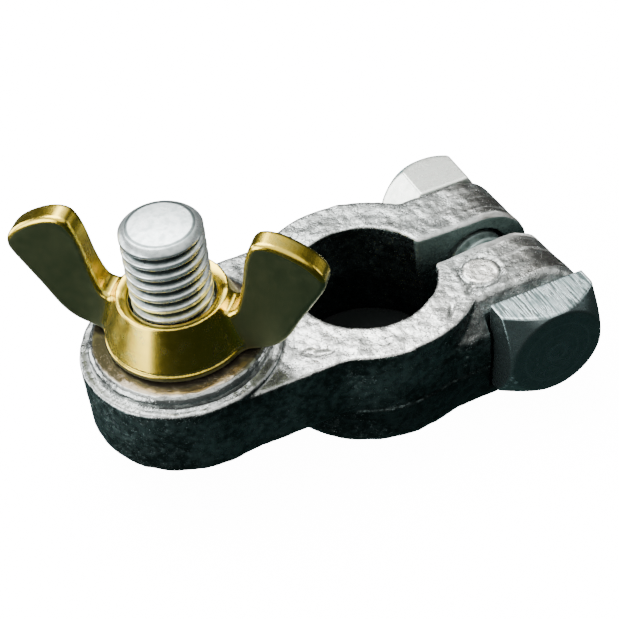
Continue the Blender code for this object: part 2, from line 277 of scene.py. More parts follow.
@dataclass(frozen=True)
class GridMesher:
    """Turns a distance function into a closed mesh of even quads."""

    low: tuple[float, float, float]
    high: tuple[float, float, float]
    step: float
    settle_rounds: int = 2
    relax_rounds: int = 3

    def samples(self, distance: Distance) -> tuple[np.ndarray, np.ndarray]:
        """Reads the distance function at every grid point.

        Args:
            distance: The shape.

        Returns:
            The grid's low corner, and a three-dimensional array of distances.
        """
        axes = [np.arange(a, b + self.step, self.step) for a, b in zip(self.low, self.high)]
        slabs = []
        for x in axes[0]:
            across, up = np.meshgrid(axes[1], axes[2], indexing="ij")
            points = np.stack([np.full(across.size, x), across.ravel(), up.ravel()], axis=1)
            slabs.append(distance(points).reshape(across.shape))
        return np.array(self.low), np.stack(slabs)

    def crossings(self, field_values: np.ndarray) -> tuple[np.ndarray, np.ndarray]:
        """Finds the grid cells that the surface passes through, and a point in each.

        Args:
            field_values: Distances at the grid points.

        Returns:
            The cells' numbers, with -1 where there is none, and one point for each
            numbered cell, in grid units.
        """
        shape = tuple(size - 1 for size in field_values.shape)
        total = np.zeros((*shape, 3))
        count = np.zeros(shape)
        for axis in range(3):
            for offset in np.ndindex(2, 2):
                start = np.insert(np.array(offset), axis, 0)
                end = start.copy()
                end[axis] = 1
                first = corner_values(field_values, start)
                second = corner_values(field_values, end)
                crosses = (first < 0) != (second < 0)
                share = np.where(crosses, first / np.where(crosses, first - second, 1), 0)
                place = np.broadcast_to(start.astype(float), total.shape).copy()
                place[..., axis] = share
                total += np.where(crosses[..., None], place, 0)
                count += crosses
        numbers = np.full(shape, -1)
        used = count > 0
        numbers[used] = np.arange(used.sum())
        points = np.argwhere(used) + total[used] / count[used][:, None]
        return numbers, points

    def quads(self, field_values: np.ndarray, numbers: np.ndarray) -> np.ndarray:
        """Joins the cells' points round each grid edge that the surface crosses.

        Args:
            field_values: Distances at the grid points.
            numbers: The cells' numbers.

        Returns:
            An array of shape (n, 4), turned so that each face points outwards.
        """
        inside = field_values < 0
        faces = []
        for axis in range(3):
            right, up = (axis + 1) % 3, (axis + 2) % 3
            lower = np.moveaxis(inside, (axis, right, up), (0, 1, 2))
            cells = np.moveaxis(numbers, (axis, right, up), (0, 1, 2))
            first, second = lower[:-1, 1:-1, 1:-1], lower[1:, 1:-1, 1:-1]
            for leaving in (True, False):
                found = np.argwhere((first == leaving) & (second != leaving))
                i, j, k = found[:, 0], found[:, 1], found[:, 2]
                corners = [cells[i, j, k], cells[i, j + 1, k], cells[i, j + 1, k + 1], cells[i, j, k + 1]]
                faces.append(np.stack(corners if leaving else corners[::-1], axis=1))
        return np.concatenate(faces)

    def settle(self, points: np.ndarray, distance: Distance) -> np.ndarray:
        """Moves each point onto the surface.

        Args:
            points: Points near the surface.
            distance: The shape.

        Returns:
            The moved points.
        """
        probe = self.step * 0.02
        for _ in range(self.settle_rounds):
            here = distance(points)
            slope = np.stack(
                [
                    (distance(points + probe * unit) - distance(points - probe * unit)) / (2 * probe)
                    for unit in np.eye(3)
                ],
                axis=1,
            )
            steepness = np.maximum((slope**2).sum(axis=1), 0.2)
            move = -here[:, None] * slope / steepness[:, None]
            length = np.maximum(np.linalg.norm(move, axis=1), 1e-12)
            points = points + move * np.minimum(1, 0.4 * self.step / length)[:, None]
        return points

    def build(self, distance: Distance) -> tuple[np.ndarray, np.ndarray]:
        """Meshes the shape.

        Args:
            distance: The shape.

        Returns:
            The mesh's points and quads.
        """
        low, field_values = self.samples(distance)
        numbers, cells = self.crossings(field_values)
        faces = self.quads(field_values, numbers)
        points = self.settle(low + cells * self.step, distance)
        for _ in range(self.relax_rounds):
            points = self.settle(relaxed(points, faces), distance)
        return points, faces


def relaxed(points: np.ndarray, faces: np.ndarray) -> np.ndarray:
    """Evens out a mesh: each point moves halfway to the middle of its neighbours.

    Args:
        points: The mesh's points.
        faces: Its quads.

    Returns:
        The moved points.
    """
    total = np.zeros_like(points)
    count = np.zeros(len(points))
    for corner in range(4):
        for neighbour in (corner - 1, (corner + 1) % 4):
            np.add.at(total, faces[:, corner], points[faces[:, neighbour]])
            np.add.at(count, faces[:, corner], 1)
    return (points + total / count[:, None]) / 2


def corner_values(field_values: np.ndarray, offset: np.ndarray) -> np.ndarray:
    """The value at one corner of every grid cell.

    Args:
        field_values: Values at the grid points.
        offset: Which corner, as three numbers that are 0 or 1.

    Returns:
        One value for each cell.
    """
    window = tuple(slice(start, size - 1 + start) for start, size in zip(offset, field_values.shape))
    return field_values[window]


# --- Objects -------------------------------------------------------------------------


def mesh_object(name: str, points: np.ndarray, faces: np.ndarray) -> bpy.types.Object:
    """Makes a smooth object at the origin from points in the part's frame.

    Args:
        name: The object's name.
        points: Its points, in metres.
        faces: Its faces, as rows of point numbers.

    Returns:
        The object.
    """
    mesh = bpy.data.meshes.new(name)
    mesh.from_pydata(points.tolist(), [], faces.tolist())
    mesh.shade_smooth()
    mesh.validate()
    made = bpy.data.objects.new(name, mesh)
    bpy.context.scene.collection.objects.link(made)
    return made


def dress(made: bpy.types.Object, material: bpy.types.Material) -> None:
    """Gives an object its material.

    Args:
        made: The object.
        material: Its material.
    """
    made.data.materials.clear()
    made.data.materials.append(material)


def report(made: bpy.types.Object) -> None:
    """Logs a finished piece and its triangle count."""
    made.data.calc_loop_triangles()
    log.info("%s: %d triangles", made.name, len(made.data.loop_triangles))


# --- Shader nodes --------------------------------------------------------------------


@dataclass(frozen=True)
class Wiring:
    """Adds nodes to a tree and links them, with short calls."""

    tree: bpy.types.NodeTree

    def add(
        self, kind: str, inputs: dict[str | int, object] | None = None, **settings: object
    ) -> bpy.types.Node:
        """Adds a node.

        Args:
            kind: The node's type.
            inputs: A value or a socket for each input, by name or number.
            settings: The node's own properties.

        Returns:
            The node.
        """
        node = self.tree.nodes.new(kind)
        for name, value in settings.items():
            setattr(node, name, value)
        for name, value in (inputs or {}).items():
            self.feed(node.inputs[name], value)
        return node

    def feed(self, socket: Socket, value: object) -> None:
        """Links a socket to another one, or sets its value.

        Args:
            socket: The input.
            value: A socket to link from, or a plain value.
        """
        if isinstance(value, bpy.types.NodeSocket):
            self.tree.links.new(value, socket)
        else:
            socket.default_value = value

    def math(self, operation: str, first: object, second: object = 0.0, third: object = 0.0) -> Socket:
        """Adds a Math node.

        Args:
            operation: Its operation.
            first: Its first input.
            second: Its second input.
            third: Its third input.

        Returns:
            Its result.
        """
        kind = "ShaderNodeMath"
        return self.add(kind, {0: first, 1: second, 2: third}, operation=operation).outputs[0]

    def step(self, value: object, low: float, high: float) -> Socket:
        """A smooth step from 0 at low to 1 at high, or down where low is above high.

        Args:
            value: The input.
            low: Where the step starts.
            high: Where it ends.

        Returns:
            The step.
        """
        start, end, first, last = (low, high, 0.0, 1.0) if low < high else (high, low, 1.0, 0.0)
        node = self.add(
            "ShaderNodeMapRange",
            {"Value": value, "From Min": start, "From Max": end, "To Min": first, "To Max": last},
            interpolation_type="SMOOTHSTEP",
        )
        return node.outputs["Result"]

    def blend(self, share: object, first: object, second: object) -> Socket:
        """Mixes two colours.

        Args:
            share: How much of the second there is.
            first: The first colour.
            second: The second colour.

        Returns:
            The mixed colour.
        """
        node = self.add("ShaderNodeMix", data_type="RGBA")
        self.feed(node.inputs[0], share)
        self.feed(node.inputs[6], first)
        self.feed(node.inputs[7], second)
        return node.outputs[2]

    def noise(self, place: Socket, size: float, detail: float = 3.0, rough: float = 0.55) -> Socket:
        """Noise over the surface.

        Args:
            place: The coordinates.
            size: The size of its largest spots, in metres.
            detail: How many finer layers it has.
            rough: How strong the finer layers are.

        Returns:
            Its value.
        """
        inputs = {"Vector": place, "Scale": 1 / size, "Detail": detail, "Roughness": rough}
        return self.add("ShaderNodeTexNoise", inputs).outputs["Fac"]

    def part(self, place: Socket, axis: str) -> Socket:
        """One part of a vector: X, Y or Z."""
        return self.add("ShaderNodeSeparateXYZ", {0: place}).outputs[axis]

    def facing(self, axis: str) -> Socket:
        """How far the surface faces along an axis, from -1 to 1."""
        return self.part(self.add("ShaderNodeTexCoord").outputs["Normal"], axis)

    def reach(self, place: Socket, **middle: float) -> Socket:
        """Distances from a straight line along X, Y or Z.

        Args:
            place: The coordinates.
            middle: Where the line is, on each of the two other axes.

        Returns:
            The distance.
        """
        squares = []
        for axis, value in middle.items():
            offset = self.math("SUBTRACT", self.part(place, axis), value)
            squares.append(self.math("MULTIPLY", offset, offset))
        return self.math("SQRT", self.math("ADD", *squares))

    def distance_from(self, place: Socket, point: Vector) -> Socket:
        """Distances from a point."""
        return self.add("ShaderNodeVectorMath", {0: place, 1: point}, operation="DISTANCE").outputs["Value"]


def rgb(red: float, steep_reflection: float, blue: float) -> tuple[float, float, float, float]:
    """A colour that covers fully."""
    return (red, steep_reflection, blue, 1.0)


@dataclass(frozen=True)
class Spots:
    """Patches cut from noise: 0 below one level of it, and 1 above another."""

    size: float
    low: float
    high: float
    detail: float = 3.0
    rough: float = 0.55

    def mask(self, wires: Wiring, place: Socket) -> Socket:
        """The patches over a surface with these coordinates."""
        return wires.step(wires.noise(place, self.size, self.detail, self.rough), self.low, self.high)


class GroupMaker:
    """Makes the shader node groups that several finishes share."""

    def __init__(self) -> None:
        """Makes each group once."""
        self.grain = self.make_grain()
        self.wear_and_glint = self.make_edge_masks()

    def make_grain(self) -> bpy.types.ShaderNodeTree:
        """Fine grain: a soft mottle, small pits and a height, all about one size.

        Returns:
            The group.
        """
        tree = bpy.data.node_groups.new("Metal grain", "ShaderNodeTree")
        for name, kind, value in (("Size", "NodeSocketFloat", 0.001), ("Pit Amount", "NodeSocketFloat", 0.3)):
            tree.interface.new_socket(name, in_out="INPUT", socket_type=kind).default_value = value
        for name in ("Mottle", "Pits", "Height"):
            tree.interface.new_socket(name, in_out="OUTPUT", socket_type="NodeSocketFloat")
        wires = Wiring(tree)
        source = wires.add("NodeGroupInput")
        place = wires.add("ShaderNodeTexCoord").outputs["Object"]
        scale = wires.math("DIVIDE", 1.0, source.outputs["Size"])
        coarse = wires.add("ShaderNodeTexNoise", {"Vector": place, "Scale": scale, "Detail": 4.0})
        fine_scale = wires.math("MULTIPLY", scale, 3.1)
        fine = wires.add("ShaderNodeTexNoise", {"Vector": place, "Scale": fine_scale, "Detail": 2.0})
        cells = wires.add("ShaderNodeTexVoronoi", {"Vector": place, "Scale": fine_scale})
        round_pits = wires.step(cells.outputs["Distance"], 0.34, 0.12)
        where = wires.step(fine.outputs["Fac"], 0.5, 0.62)
        pits = wires.math("MULTIPLY", round_pits, where)
        pits = wires.math("MULTIPLY", pits, source.outputs["Pit Amount"])
        height = wires.math("MULTIPLY_ADD", fine.outputs["Fac"], 0.4, coarse.outputs["Fac"])
        height = wires.math("SUBTRACT", height, pits)
        outputs = {"Mottle": coarse.outputs["Fac"], "Pits": pits, "Height": height}
        wires.add("NodeGroupOutput", outputs)
        return tree

    def make_edge_masks(self) -> bpy.types.ShaderNodeTree:
        """Edge masks, broken up by noise: one brightens outer edges, as rubbing and as painted highlight, and
        one darkens creases as painted shade.

        Returns:
            The group.
        """
        tree = bpy.data.node_groups.new("Edge wear and glint", "ShaderNodeTree")
        for name, value in (("Start", 0.52), ("Reach", 0.06), ("Break Up", 0.04)):
            made = tree.interface.new_socket(name, in_out="INPUT", socket_type="NodeSocketFloat")
            made.default_value = value
        for name in ("Wear And Glint", "Crease Shade"):
            tree.interface.new_socket(name, in_out="OUTPUT", socket_type="NodeSocketFloat")
        wires = Wiring(tree)
        source = wires.add("NodeGroupInput")
        place = wires.add("ShaderNodeTexCoord").outputs["Object"]
        edge = wires.add("ShaderNodeNewGeometry").outputs["Pointiness"]
        noise = wires.math("SUBTRACT", wires.noise(place, 0.0012), 0.5)
        edge = wires.math("MULTIPLY_ADD", noise, source.outputs["Break Up"], edge)
        end = wires.math("ADD", source.outputs["Start"], source.outputs["Reach"])
        inputs = {"Value": edge, "From Min": source.outputs["Start"], "From Max": end}
        mask = wires.add("ShaderNodeMapRange", inputs).outputs["Result"]
        # Painted shade: creases, where the surface dips, grow dark.
        crease_shade = wires.step(edge, 0.47, 0.40)
        wires.add("NodeGroupOutput", {"Wear And Glint": mask, "Crease Shade": crease_shade})
        return tree


def place_group(wires: Wiring, group: bpy.types.ShaderNodeTree, **values: float) -> bpy.types.Node:
    """Places a node group in a material with its own values.

    Args:
        wires: The material's wiring.
        group: The group.
        values: A value for each input, with underscores for spaces.

    Returns:
        The group's node.
    """
    node = wires.add("ShaderNodeGroup", node_tree=group)
    for name, value in values.items():
        node.inputs[name.replace("_", " ")].default_value = value
    return node


def new_material(name: str) -> tuple[bpy.types.Material, Wiring, bpy.types.Node]:
    """Starts a material.

    Args:
        name: The material's name.

    Returns:
        The material, its wiring and its Principled shader.
    """
    made = bpy.data.materials.new(name)
    made.use_nodes = True
    return made, Wiring(made.node_tree), made.node_tree.nodes["Principled BSDF"]


def up_facing(wires: Wiring, low: float, high: float) -> Socket:
    """A mask of the faces that look up, from 0 at one steepness to 1 at the other."""
    return wires.step(wires.facing("Z"), low, high)


@dataclass(frozen=True)
class Relief:
    """The fine bumps that a metal's surface has."""

    strength: float
    depth: float

    def surface(
        self, wires: Wiring, shader: bpy.types.Node, colour: Socket, shiny: Socket, height: Socket
    ) -> None:
        """Feeds a metal's colour, roughness and bumps to its shader.

        Args:
            wires: The material's wiring.
            shader: Its Principled shader.
            colour: Its colour.
            shiny: Its roughness.
            height: The bumps' height.
        """
        inputs = {"Strength": self.strength, "Distance": self.depth, "Height": height}
        bump = wires.add("ShaderNodeBump", inputs)
        wires.feed(shader.inputs["Base Color"], colour)
        wires.feed(shader.inputs["Roughness"], shiny)
        wires.feed(shader.inputs["Normal"], bump.outputs[0])


@dataclass(frozen=True)
class CastLead:
    """Cast lead alloy: bright from rubbing on top, with a painted highlight; dark, mottled sides, partly
    oxide and partly painted shade.
    """

    groups: GroupMaker
    bench: Bench
    bright: tuple[float, ...] = rgb(0.86, 0.87, 0.84)
    plain: tuple[float, ...] = rgb(0.47, 0.50, 0.49)
    grey: tuple[float, ...] = rgb(0.23, 0.24, 0.23)
    # Centre of the painted highlight on the top.
    highlight_place: tuple[float, float, float] = (-0.0030, -0.0100, 0.0)
    brown: tuple[float, ...] = rgb(0.15, 0.14, 0.125)
    dark: tuple[float, ...] = rgb(0.030, 0.042, 0.040)
    low_shade: tuple[float, ...] = rgb(0.010, 0.014, 0.014)
    teal: tuple[float, ...] = rgb(0.15, 0.21, 0.205)
    crack: tuple[float, ...] = rgb(0.05, 0.05, 0.045)
    cream: tuple[float, ...] = rgb(0.93, 0.92, 0.86)
    mark_place: tuple[float, float, float] = (0.0125, -0.00615, 0.0)
    mark_radius: float = 0.0023
    # Painted reflection of the brass nut on the raised disc's flat top.
    nut_reflection: tuple[float, ...] = rgb(0.15, 0.12, 0.075)
    sawn_and_lit: tuple[float, ...] = rgb(0.15, 0.21, 0.195)
    disc_reach: float = 0.0107
    pad_reach: float = 0.0115
    rim_reach: float = 0.0131
    ledge_y: float = -0.0094
    brown_start: float = 0.0095
    brown_end: float = 0.0215
    low_shade_start: float = 0.0050
    low_shade_end: float = 0.0105
    slit_half: float = 0.0027
    slit_start: float = 0.0078
    patch_areas: Spots = Spots(0.009, 0.40, 0.62)
    fine_specks: Spots = Spots(0.00055, 0.53, 0.58, 5.0, 0.78)
    broad_shade: Spots = Spots(0.0075, 0.50, 0.64, 2.0)
    end_patches: Spots = Spots(0.003, 0.25, 0.55)
    crack_areas: Spots = Spots(0.0034, 0.50, 0.58)
    wave_size: float = 0.0034
    waviness: float = 0.7
    metallic: float = 0.88
    relief: Relief = Relief(0.55, 0.00016)

    def sides(self, wires: Wiring, place: Socket) -> Socket:
        """The sides' dark mottle, partly oxide and partly painted shade, with painted shade that deepens
        towards the bottom.

        Args:
            wires: The material's wiring.
            place: The coordinates.

        Returns:
            The sides' colour.
        """
        broad = wires.noise(place, 0.006, 3.0, 0.5)
        fine = wires.noise(place, 0.0009, 4.0, 0.7)
        both = wires.math("MULTIPLY_ADD", fine, 0.7, wires.math("MULTIPLY", broad, 0.5))
        # The teal patches are partly a painted sheen.
        colour = wires.blend(wires.step(both, 0.46, 0.78), self.dark, self.teal)
        # Painted shade: the sides grow darker towards the bottom.
        top = self.bench.origin.z
        low = wires.step(wires.part(place, "Z"), top - self.low_shade_start, top - self.low_shade_end)
        return wires.blend(wires.math("MULTIPLY", low, 0.65), colour, self.low_shade)

    def top(self, wires: Wiring, place: Socket, grain: bpy.types.Node) -> Socket:
        """The top: bright round a painted highlight on the ring's near side and plainer further off, with
        grey patches, and browner towards the ears' ends.

        Args:
            wires: The material's wiring.
            place: The coordinates.
            grain: The placed grain group.

        Returns:
            The top's colour.
        """
        speckle = wires.step(grain.outputs["Mottle"], 0.52, 0.60)
        areas = self.patch_areas.mask(wires, place)
        patches = wires.math("MULTIPLY", speckle, wires.math("MULTIPLY_ADD", areas, 0.5, 0.2))
        # Painted highlight: brightest within 7 mm of one spot on the ring's near side, gone by 15 mm.
        offset = wires.distance_from(place, self.bench.origin + Vector(self.highlight_place))
        painted_highlight = wires.step(offset, 0.0150, 0.0070)
        colour = wires.blend(painted_highlight, self.plain, self.bright)
        colour = wires.blend(patches, colour, self.grey)
        specks = self.fine_specks.mask(wires, place)
        colour = wires.blend(wires.math("MULTIPLY", specks, 0.70), colour, self.grey)
        shade = self.broad_shade.mask(wires, place)
        shade = wires.math("MULTIPLY", shade, wires.math("MULTIPLY_ADD", painted_highlight, -0.45, 0.60))
        colour = wires.blend(shade, colour, self.grey)
        ends = self.ear_ends(wires, place)
        colour = wires.blend(wires.math("MULTIPLY", ends, 0.8), colour, self.brown)
        pale = wires.math("MULTIPLY", self.streaks(wires, place), wires.math("MULTIPLY", ends, 0.8))
        colour = wires.blend(pale, colour, self.bright)
        offset = wires.distance_from(place, self.bench.origin + Vector(self.mark_place))
        mark = wires.step(offset, self.mark_radius, self.mark_radius * 0.85)
        return wires.blend(wires.math("MULTIPLY", mark, 0.85), colour, self.cream)

    def ear_ends(self, wires: Wiring, place: Socket) -> Socket:
        """A patchy mask that grows towards the ears' ends and leaves out the ledge by the bolt.

        Args:
            wires: The material's wiring.
            place: The coordinates.

        Returns:
            The mask.
        """
        start = self.bench.origin.x + self.brown_start
        ends = wires.step(wires.part(place, "X"), start, self.bench.origin.x + self.brown_end)
        ledge = self.bench.origin.y + self.ledge_y
        inner = wires.step(wires.part(place, "Y"), ledge - 0.0004, ledge + 0.0003)
        ends = wires.math("MULTIPLY", ends, inner)
        return wires.math("MULTIPLY", ends, self.end_patches.mask(wires, place))

    def around_stud(self, wires: Wiring, place: Socket, radius: float) -> Socket:
        """A mask of what lies within a radius of the stud's axis.

        Args:
            wires: The material's wiring.
            place: The coordinates.
            radius: How far the mask reaches.

        Returns:
            The mask.
        """
        middle = self.bench.origin
        reach = wires.reach(place, X=middle.x - self.bench.bore_to_stud, Y=middle.y)
        return wires.step(reach, radius + 0.0002, radius)

    def streaks(self, wires: Wiring, place: Socket) -> Socket:
        """Pale rub marks along the ears.

        Args:
            wires: The material's wiring.
            place: The coordinates.

        Returns:
            A mask of the marks.
        """
        stretch = (160.0, 1500.0, 300.0)
        moved = wires.add("ShaderNodeVectorMath", {0: place, 1: stretch}, operation="MULTIPLY")
        inputs = {"Vector": moved.outputs[0], "Scale": 1.0, "Detail": 3.0}
        lines = wires.add("ShaderNodeTexNoise", inputs)
        return wires.step(lines.outputs["Fac"], 0.50, 0.64)

    def cracks(self, wires: Wiring, place: Socket) -> Socket:
        """Fine dark cracks, in patches.

        Args:
            wires: The material's wiring.
            place: The coordinates.

        Returns:
            A mask of the cracks.
        """
        noise = wires.noise(place, 0.0021, 4.0, 0.6)
        away = wires.math("ABSOLUTE", wires.math("SUBTRACT", noise, 0.5))
        lines = wires.step(away, 0.008, 0.002)
        return wires.math("MULTIPLY", lines, self.crack_areas.mask(wires, place))

    def top_share(self, wires: Wiring, place: Socket) -> Socket:
        """A mask of what gets the bright top finish, partly rubbing and partly painted light: high faces that
        look up, and the whole pad.

        Args:
            wires: The material's wiring.
            place: The coordinates.

        Returns:
            The mask.
        """
        top = self.bench.origin.z
        z = wires.part(place, "Z")
        high = wires.step(z, top - 0.0062, top - 0.0055)
        up = wires.math("MULTIPLY", up_facing(wires, 0.35, 0.62), high)
        pad = self.around_stud(wires, place, self.pad_reach)
        pad = wires.math("MULTIPLY", pad, wires.step(z, top - 0.0015, top - 0.0010))
        return wires.math("MAXIMUM", up, pad)

    def slit_walls(self, wires: Wiring, place: Socket) -> Socket:
        """A mask of the slit's sawn walls, stronger towards the top; their lighter teal is partly painted
        light.

        Args:
            wires: The material's wiring.
            place: The coordinates.

        Returns:
            The mask.
        """
        middle = self.bench.origin
        across = wires.math("SUBTRACT", wires.part(place, "Y"), middle.y)
        near = wires.step(wires.math("ABSOLUTE", across), self.slit_half + 0.0003, self.slit_half)
        along = wires.math("SUBTRACT", wires.part(place, "X"), middle.x)
        along = wires.step(along, self.slit_start, self.slit_start + 0.0008)
        depth = wires.step(wires.part(place, "Z"), middle.z - 0.0065, middle.z - 0.0005)
        return wires.math("MULTIPLY", wires.math("MULTIPLY", near, along), depth)

    def build(self) -> bpy.types.Material:
        """Makes the material.

        Returns:
            The material.
        """
        made, wires, shader = new_material("Cast lead")
        place = wires.add("ShaderNodeTexCoord").outputs["Object"]
        grain = place_group(wires, self.groups.grain, Size=0.0009, Pit_Amount=1.0)
        wear_and_glint = place_group(wires, self.groups.wear_and_glint, Start=0.53, Reach=0.05, Break_Up=0.04)
        up = self.top_share(wires, place)
        cracks = self.cracks(wires, place)
        top = wires.blend(wires.math("MULTIPLY", cracks, 0.6), self.top(wires, place, grain), self.crack)
        top = wires.blend(grain.outputs["Pits"], top, self.crack)
        slit = self.slit_walls(wires, place)
        # The slit's walls: a lighter teal, partly the sawn finish and partly painted light.
        sides = wires.blend(slit, self.sides(wires, place), self.sawn_and_lit)
        # Faces that look up get the top finish and the rest the dark sides: partly real finish, partly
        # painted light and shade.
        colour = wires.blend(up, sides, top)
        share = wires.math("MULTIPLY_ADD", up, 0.80, 0.06)
        level = up_facing(wires, 0.90, 0.98)
        disc = self.around_stud(wires, place, self.disc_reach)
        flat = wires.math("MULTIPLY", disc, level)
        rim = wires.math("MULTIPLY", self.around_stud(wires, place, self.rim_reach), level)
        colour = wires.blend(wires.math("MULTIPLY", rim, 0.62), colour, self.grey)
        # Painted reflection: the disc's flat top takes the nut's brown-gold.
        colour = wires.blend(wires.math("MULTIPLY", flat, 0.9), colour, self.nut_reflection)
        # Bright edges: partly rubbing, partly a painted highlight on rounded edges.
        worn_and_lit = wires.math("MULTIPLY", wear_and_glint.outputs["Wear And Glint"], share)
        colour = wires.blend(worn_and_lit, colour, self.bright)
        shiny = wires.math("MULTIPLY_ADD", grain.outputs["Mottle"], 0.34, 0.11)
        shiny = wires.math("MULTIPLY_ADD", disc, -0.10, shiny)
        height = wires.math("MULTIPLY_ADD", cracks, -0.9, grain.outputs["Height"])
        waves = wires.noise(place, self.wave_size, 2.0)
        height = wires.math("MULTIPLY_ADD", waves, self.waviness, height)
        height = wires.math("MULTIPLY", height, wires.math("MULTIPLY_ADD", disc, -0.7, 1.0))
        self.relief.surface(wires, shader, colour, shiny, height)
        wires.feed(shader.inputs["Metallic"], wires.math("MULTIPLY_ADD", slit, -0.8, self.metallic))
        return made


@dataclass(frozen=True)
class ZincPlate:
    """Zinc-plated steel, bluish white, with a cloudy sheen."""

    groups: GroupMaker
    name: str
    pale: tuple[float, ...] = rgb(0.72, 0.78, 0.78)
    cloud: tuple[float, ...] = rgb(0.40, 0.47, 0.47)
    dull: tuple[float, ...] = rgb(0.03, 0.05, 0.05)
    side_shade_share: float = 0.0
    brushed: float = 0.0
    crease_shade: float = 0.85
    metallic: float = 0.9
    roughness: float = 0.28
    grain_size: float = 0.0009
    crown: tuple[float, ...] | None = None
    turned_axis: tuple[float, float] | None = None
    thread_axis: tuple[float, float] | None = None
    crest: float = 0.0047
    face: float = 0.0036
    thread_top: float = 0.0
    ring_scale: float = 1300.0
    scratch_scale: tuple[float, float, float] = (4500.0, 260.0, 260.0)
    relief: Relief = Relief(0.25, 0.00006)

    def thread_shade(self, wires: Wiring, place: Socket) -> Socket:
        """Painted shade: a mask that darkens an upright thread's valleys, the line round its end face and,
        faintly, the chamfer.

        Args:
            wires: The material's wiring.
            place: The coordinates.

        Returns:
            The mask.
        """
        reach = wires.reach(place, X=self.thread_axis[0], Y=self.thread_axis[1])
        low = wires.step(wires.part(place, "Z"), self.thread_top - 0.0008, self.thread_top - 0.0012)
        valley = wires.math("MULTIPLY", low, wires.step(reach, self.crest - 0.00022, self.crest - 0.00060))
        offset = wires.math("ABSOLUTE", wires.math("SUBTRACT", reach, self.face))
        line = wires.math("MULTIPLY", wires.step(offset, 0.00026, 0.00010), 0.9)
        outer = wires.math("MULTIPLY", wires.step(reach, self.face, self.face + 0.0002), 0.3)
        line = wires.math("MAXIMUM", line, outer)
        line = wires.math("MULTIPLY", line, wires.math("SUBTRACT", 1.0, low))
        return wires.math("MAXIMUM", valley, line)

    def build(self) -> bpy.types.Material:
        """Makes the material.

        Returns:
            The material.
        """
        made, wires, shader = new_material(self.name)
        place = wires.add("ShaderNodeTexCoord").outputs["Object"]
        grain = place_group(wires, self.groups.grain, Size=self.grain_size, Pit_Amount=0.35)
        wear_and_glint = place_group(wires, self.groups.wear_and_glint, Start=0.525, Reach=0.04, Break_Up=0.02)
        clouds = wires.step(grain.outputs["Mottle"], 0.40, 0.70)
        colour = wires.blend(clouds, self.pale, self.cloud)
        up = up_facing(wires, 0.55, 0.85)
        # Painted shade: faces that don't look up take the dark colour.
        if self.side_shade_share:
            down = wires.math("SUBTRACT", 1.0, up)
            colour = wires.blend(wires.math("MULTIPLY", down, self.side_shade_share), colour, self.dull)
        height = grain.outputs["Height"]
        if self.brushed:
            lines = self.brushing(wires, place)
            shade = wires.math("MULTIPLY", wires.math("MULTIPLY", lines, up), self.brushed)
            colour = wires.blend(shade, colour, self.dull)
            height = wires.math("SUBTRACT", height, shade)
        # Bright edges: partly wear, partly a painted highlight.
        colour = wires.blend(wires.math("MULTIPLY", wear_and_glint.outputs["Wear And Glint"], 0.6), colour, self.pale)
        # Painted shade in creases.
        colour = wires.blend(wires.math("MULTIPLY", wear_and_glint.outputs["Crease Shade"], self.crease_shade), colour, self.dull)
        if self.turned_axis:
            rings = wires.math("MULTIPLY", self.turning(wires, place), 0.09)
            colour = wires.blend(rings, colour, self.pale)
        # Painted reflection: faces that look towards +Y take the crown's pale teal.
        if self.crown:
            colour = wires.blend(wires.step(wires.facing("Y"), 0.20, 0.42), colour, self.crown)
        if self.thread_axis:
            # Painted shade in the thread's valleys and round its end face.
            thread_shade = wires.math("MULTIPLY", self.thread_shade(wires, place), 0.93)
            colour = wires.blend(thread_shade, colour, self.dull)
        shiny = wires.math("MULTIPLY_ADD", grain.outputs["Mottle"], 0.2, self.roughness - 0.1)
        self.relief.surface(wires, shader, colour, shiny, height)
        shader.inputs["Metallic"].default_value = self.metallic
        return made

    def turning(self, wires: Wiring, place: Socket) -> Socket:
        """Faint rings about an axis along Y, as on a turned or stamped face.

        Args:
            wires: The material's wiring.
            place: The coordinates.

        Returns:
            A mask of the rings.
        """
        reach = wires.reach(place, X=self.turned_axis[0], Z=self.turned_axis[1])
        scaled = wires.math("MULTIPLY", reach, self.ring_scale)
        along = wires.add("ShaderNodeCombineXYZ", {0: scaled}).outputs[0]
        rings = wires.add("ShaderNodeTexNoise", {"Vector": along, "Scale": 1.0, "Detail": 2.0})
        front = wires.step(wires.facing("Y"), -0.80, -0.95)
        return wires.math("MULTIPLY", wires.step(rings.outputs["Fac"], 0.50, 0.66), front)

    def brushing(self, wires: Wiring, place: Socket) -> Socket:
        """Dark scratches along Y, as on a sheared or brushed flat.

        Args:
            wires: The material's wiring.
            place: The coordinates.

        Returns:
            A mask of the scratches.
        """
        inputs = {0: place, 1: self.scratch_scale}
        stretch = wires.add("ShaderNodeVectorMath", inputs, operation="MULTIPLY")
        lines = wires.add("ShaderNodeTexNoise", {"Vector": stretch.outputs[0], "Scale": 1.0})
        return wires.step(lines.outputs["Fac"], 0.46, 0.58)


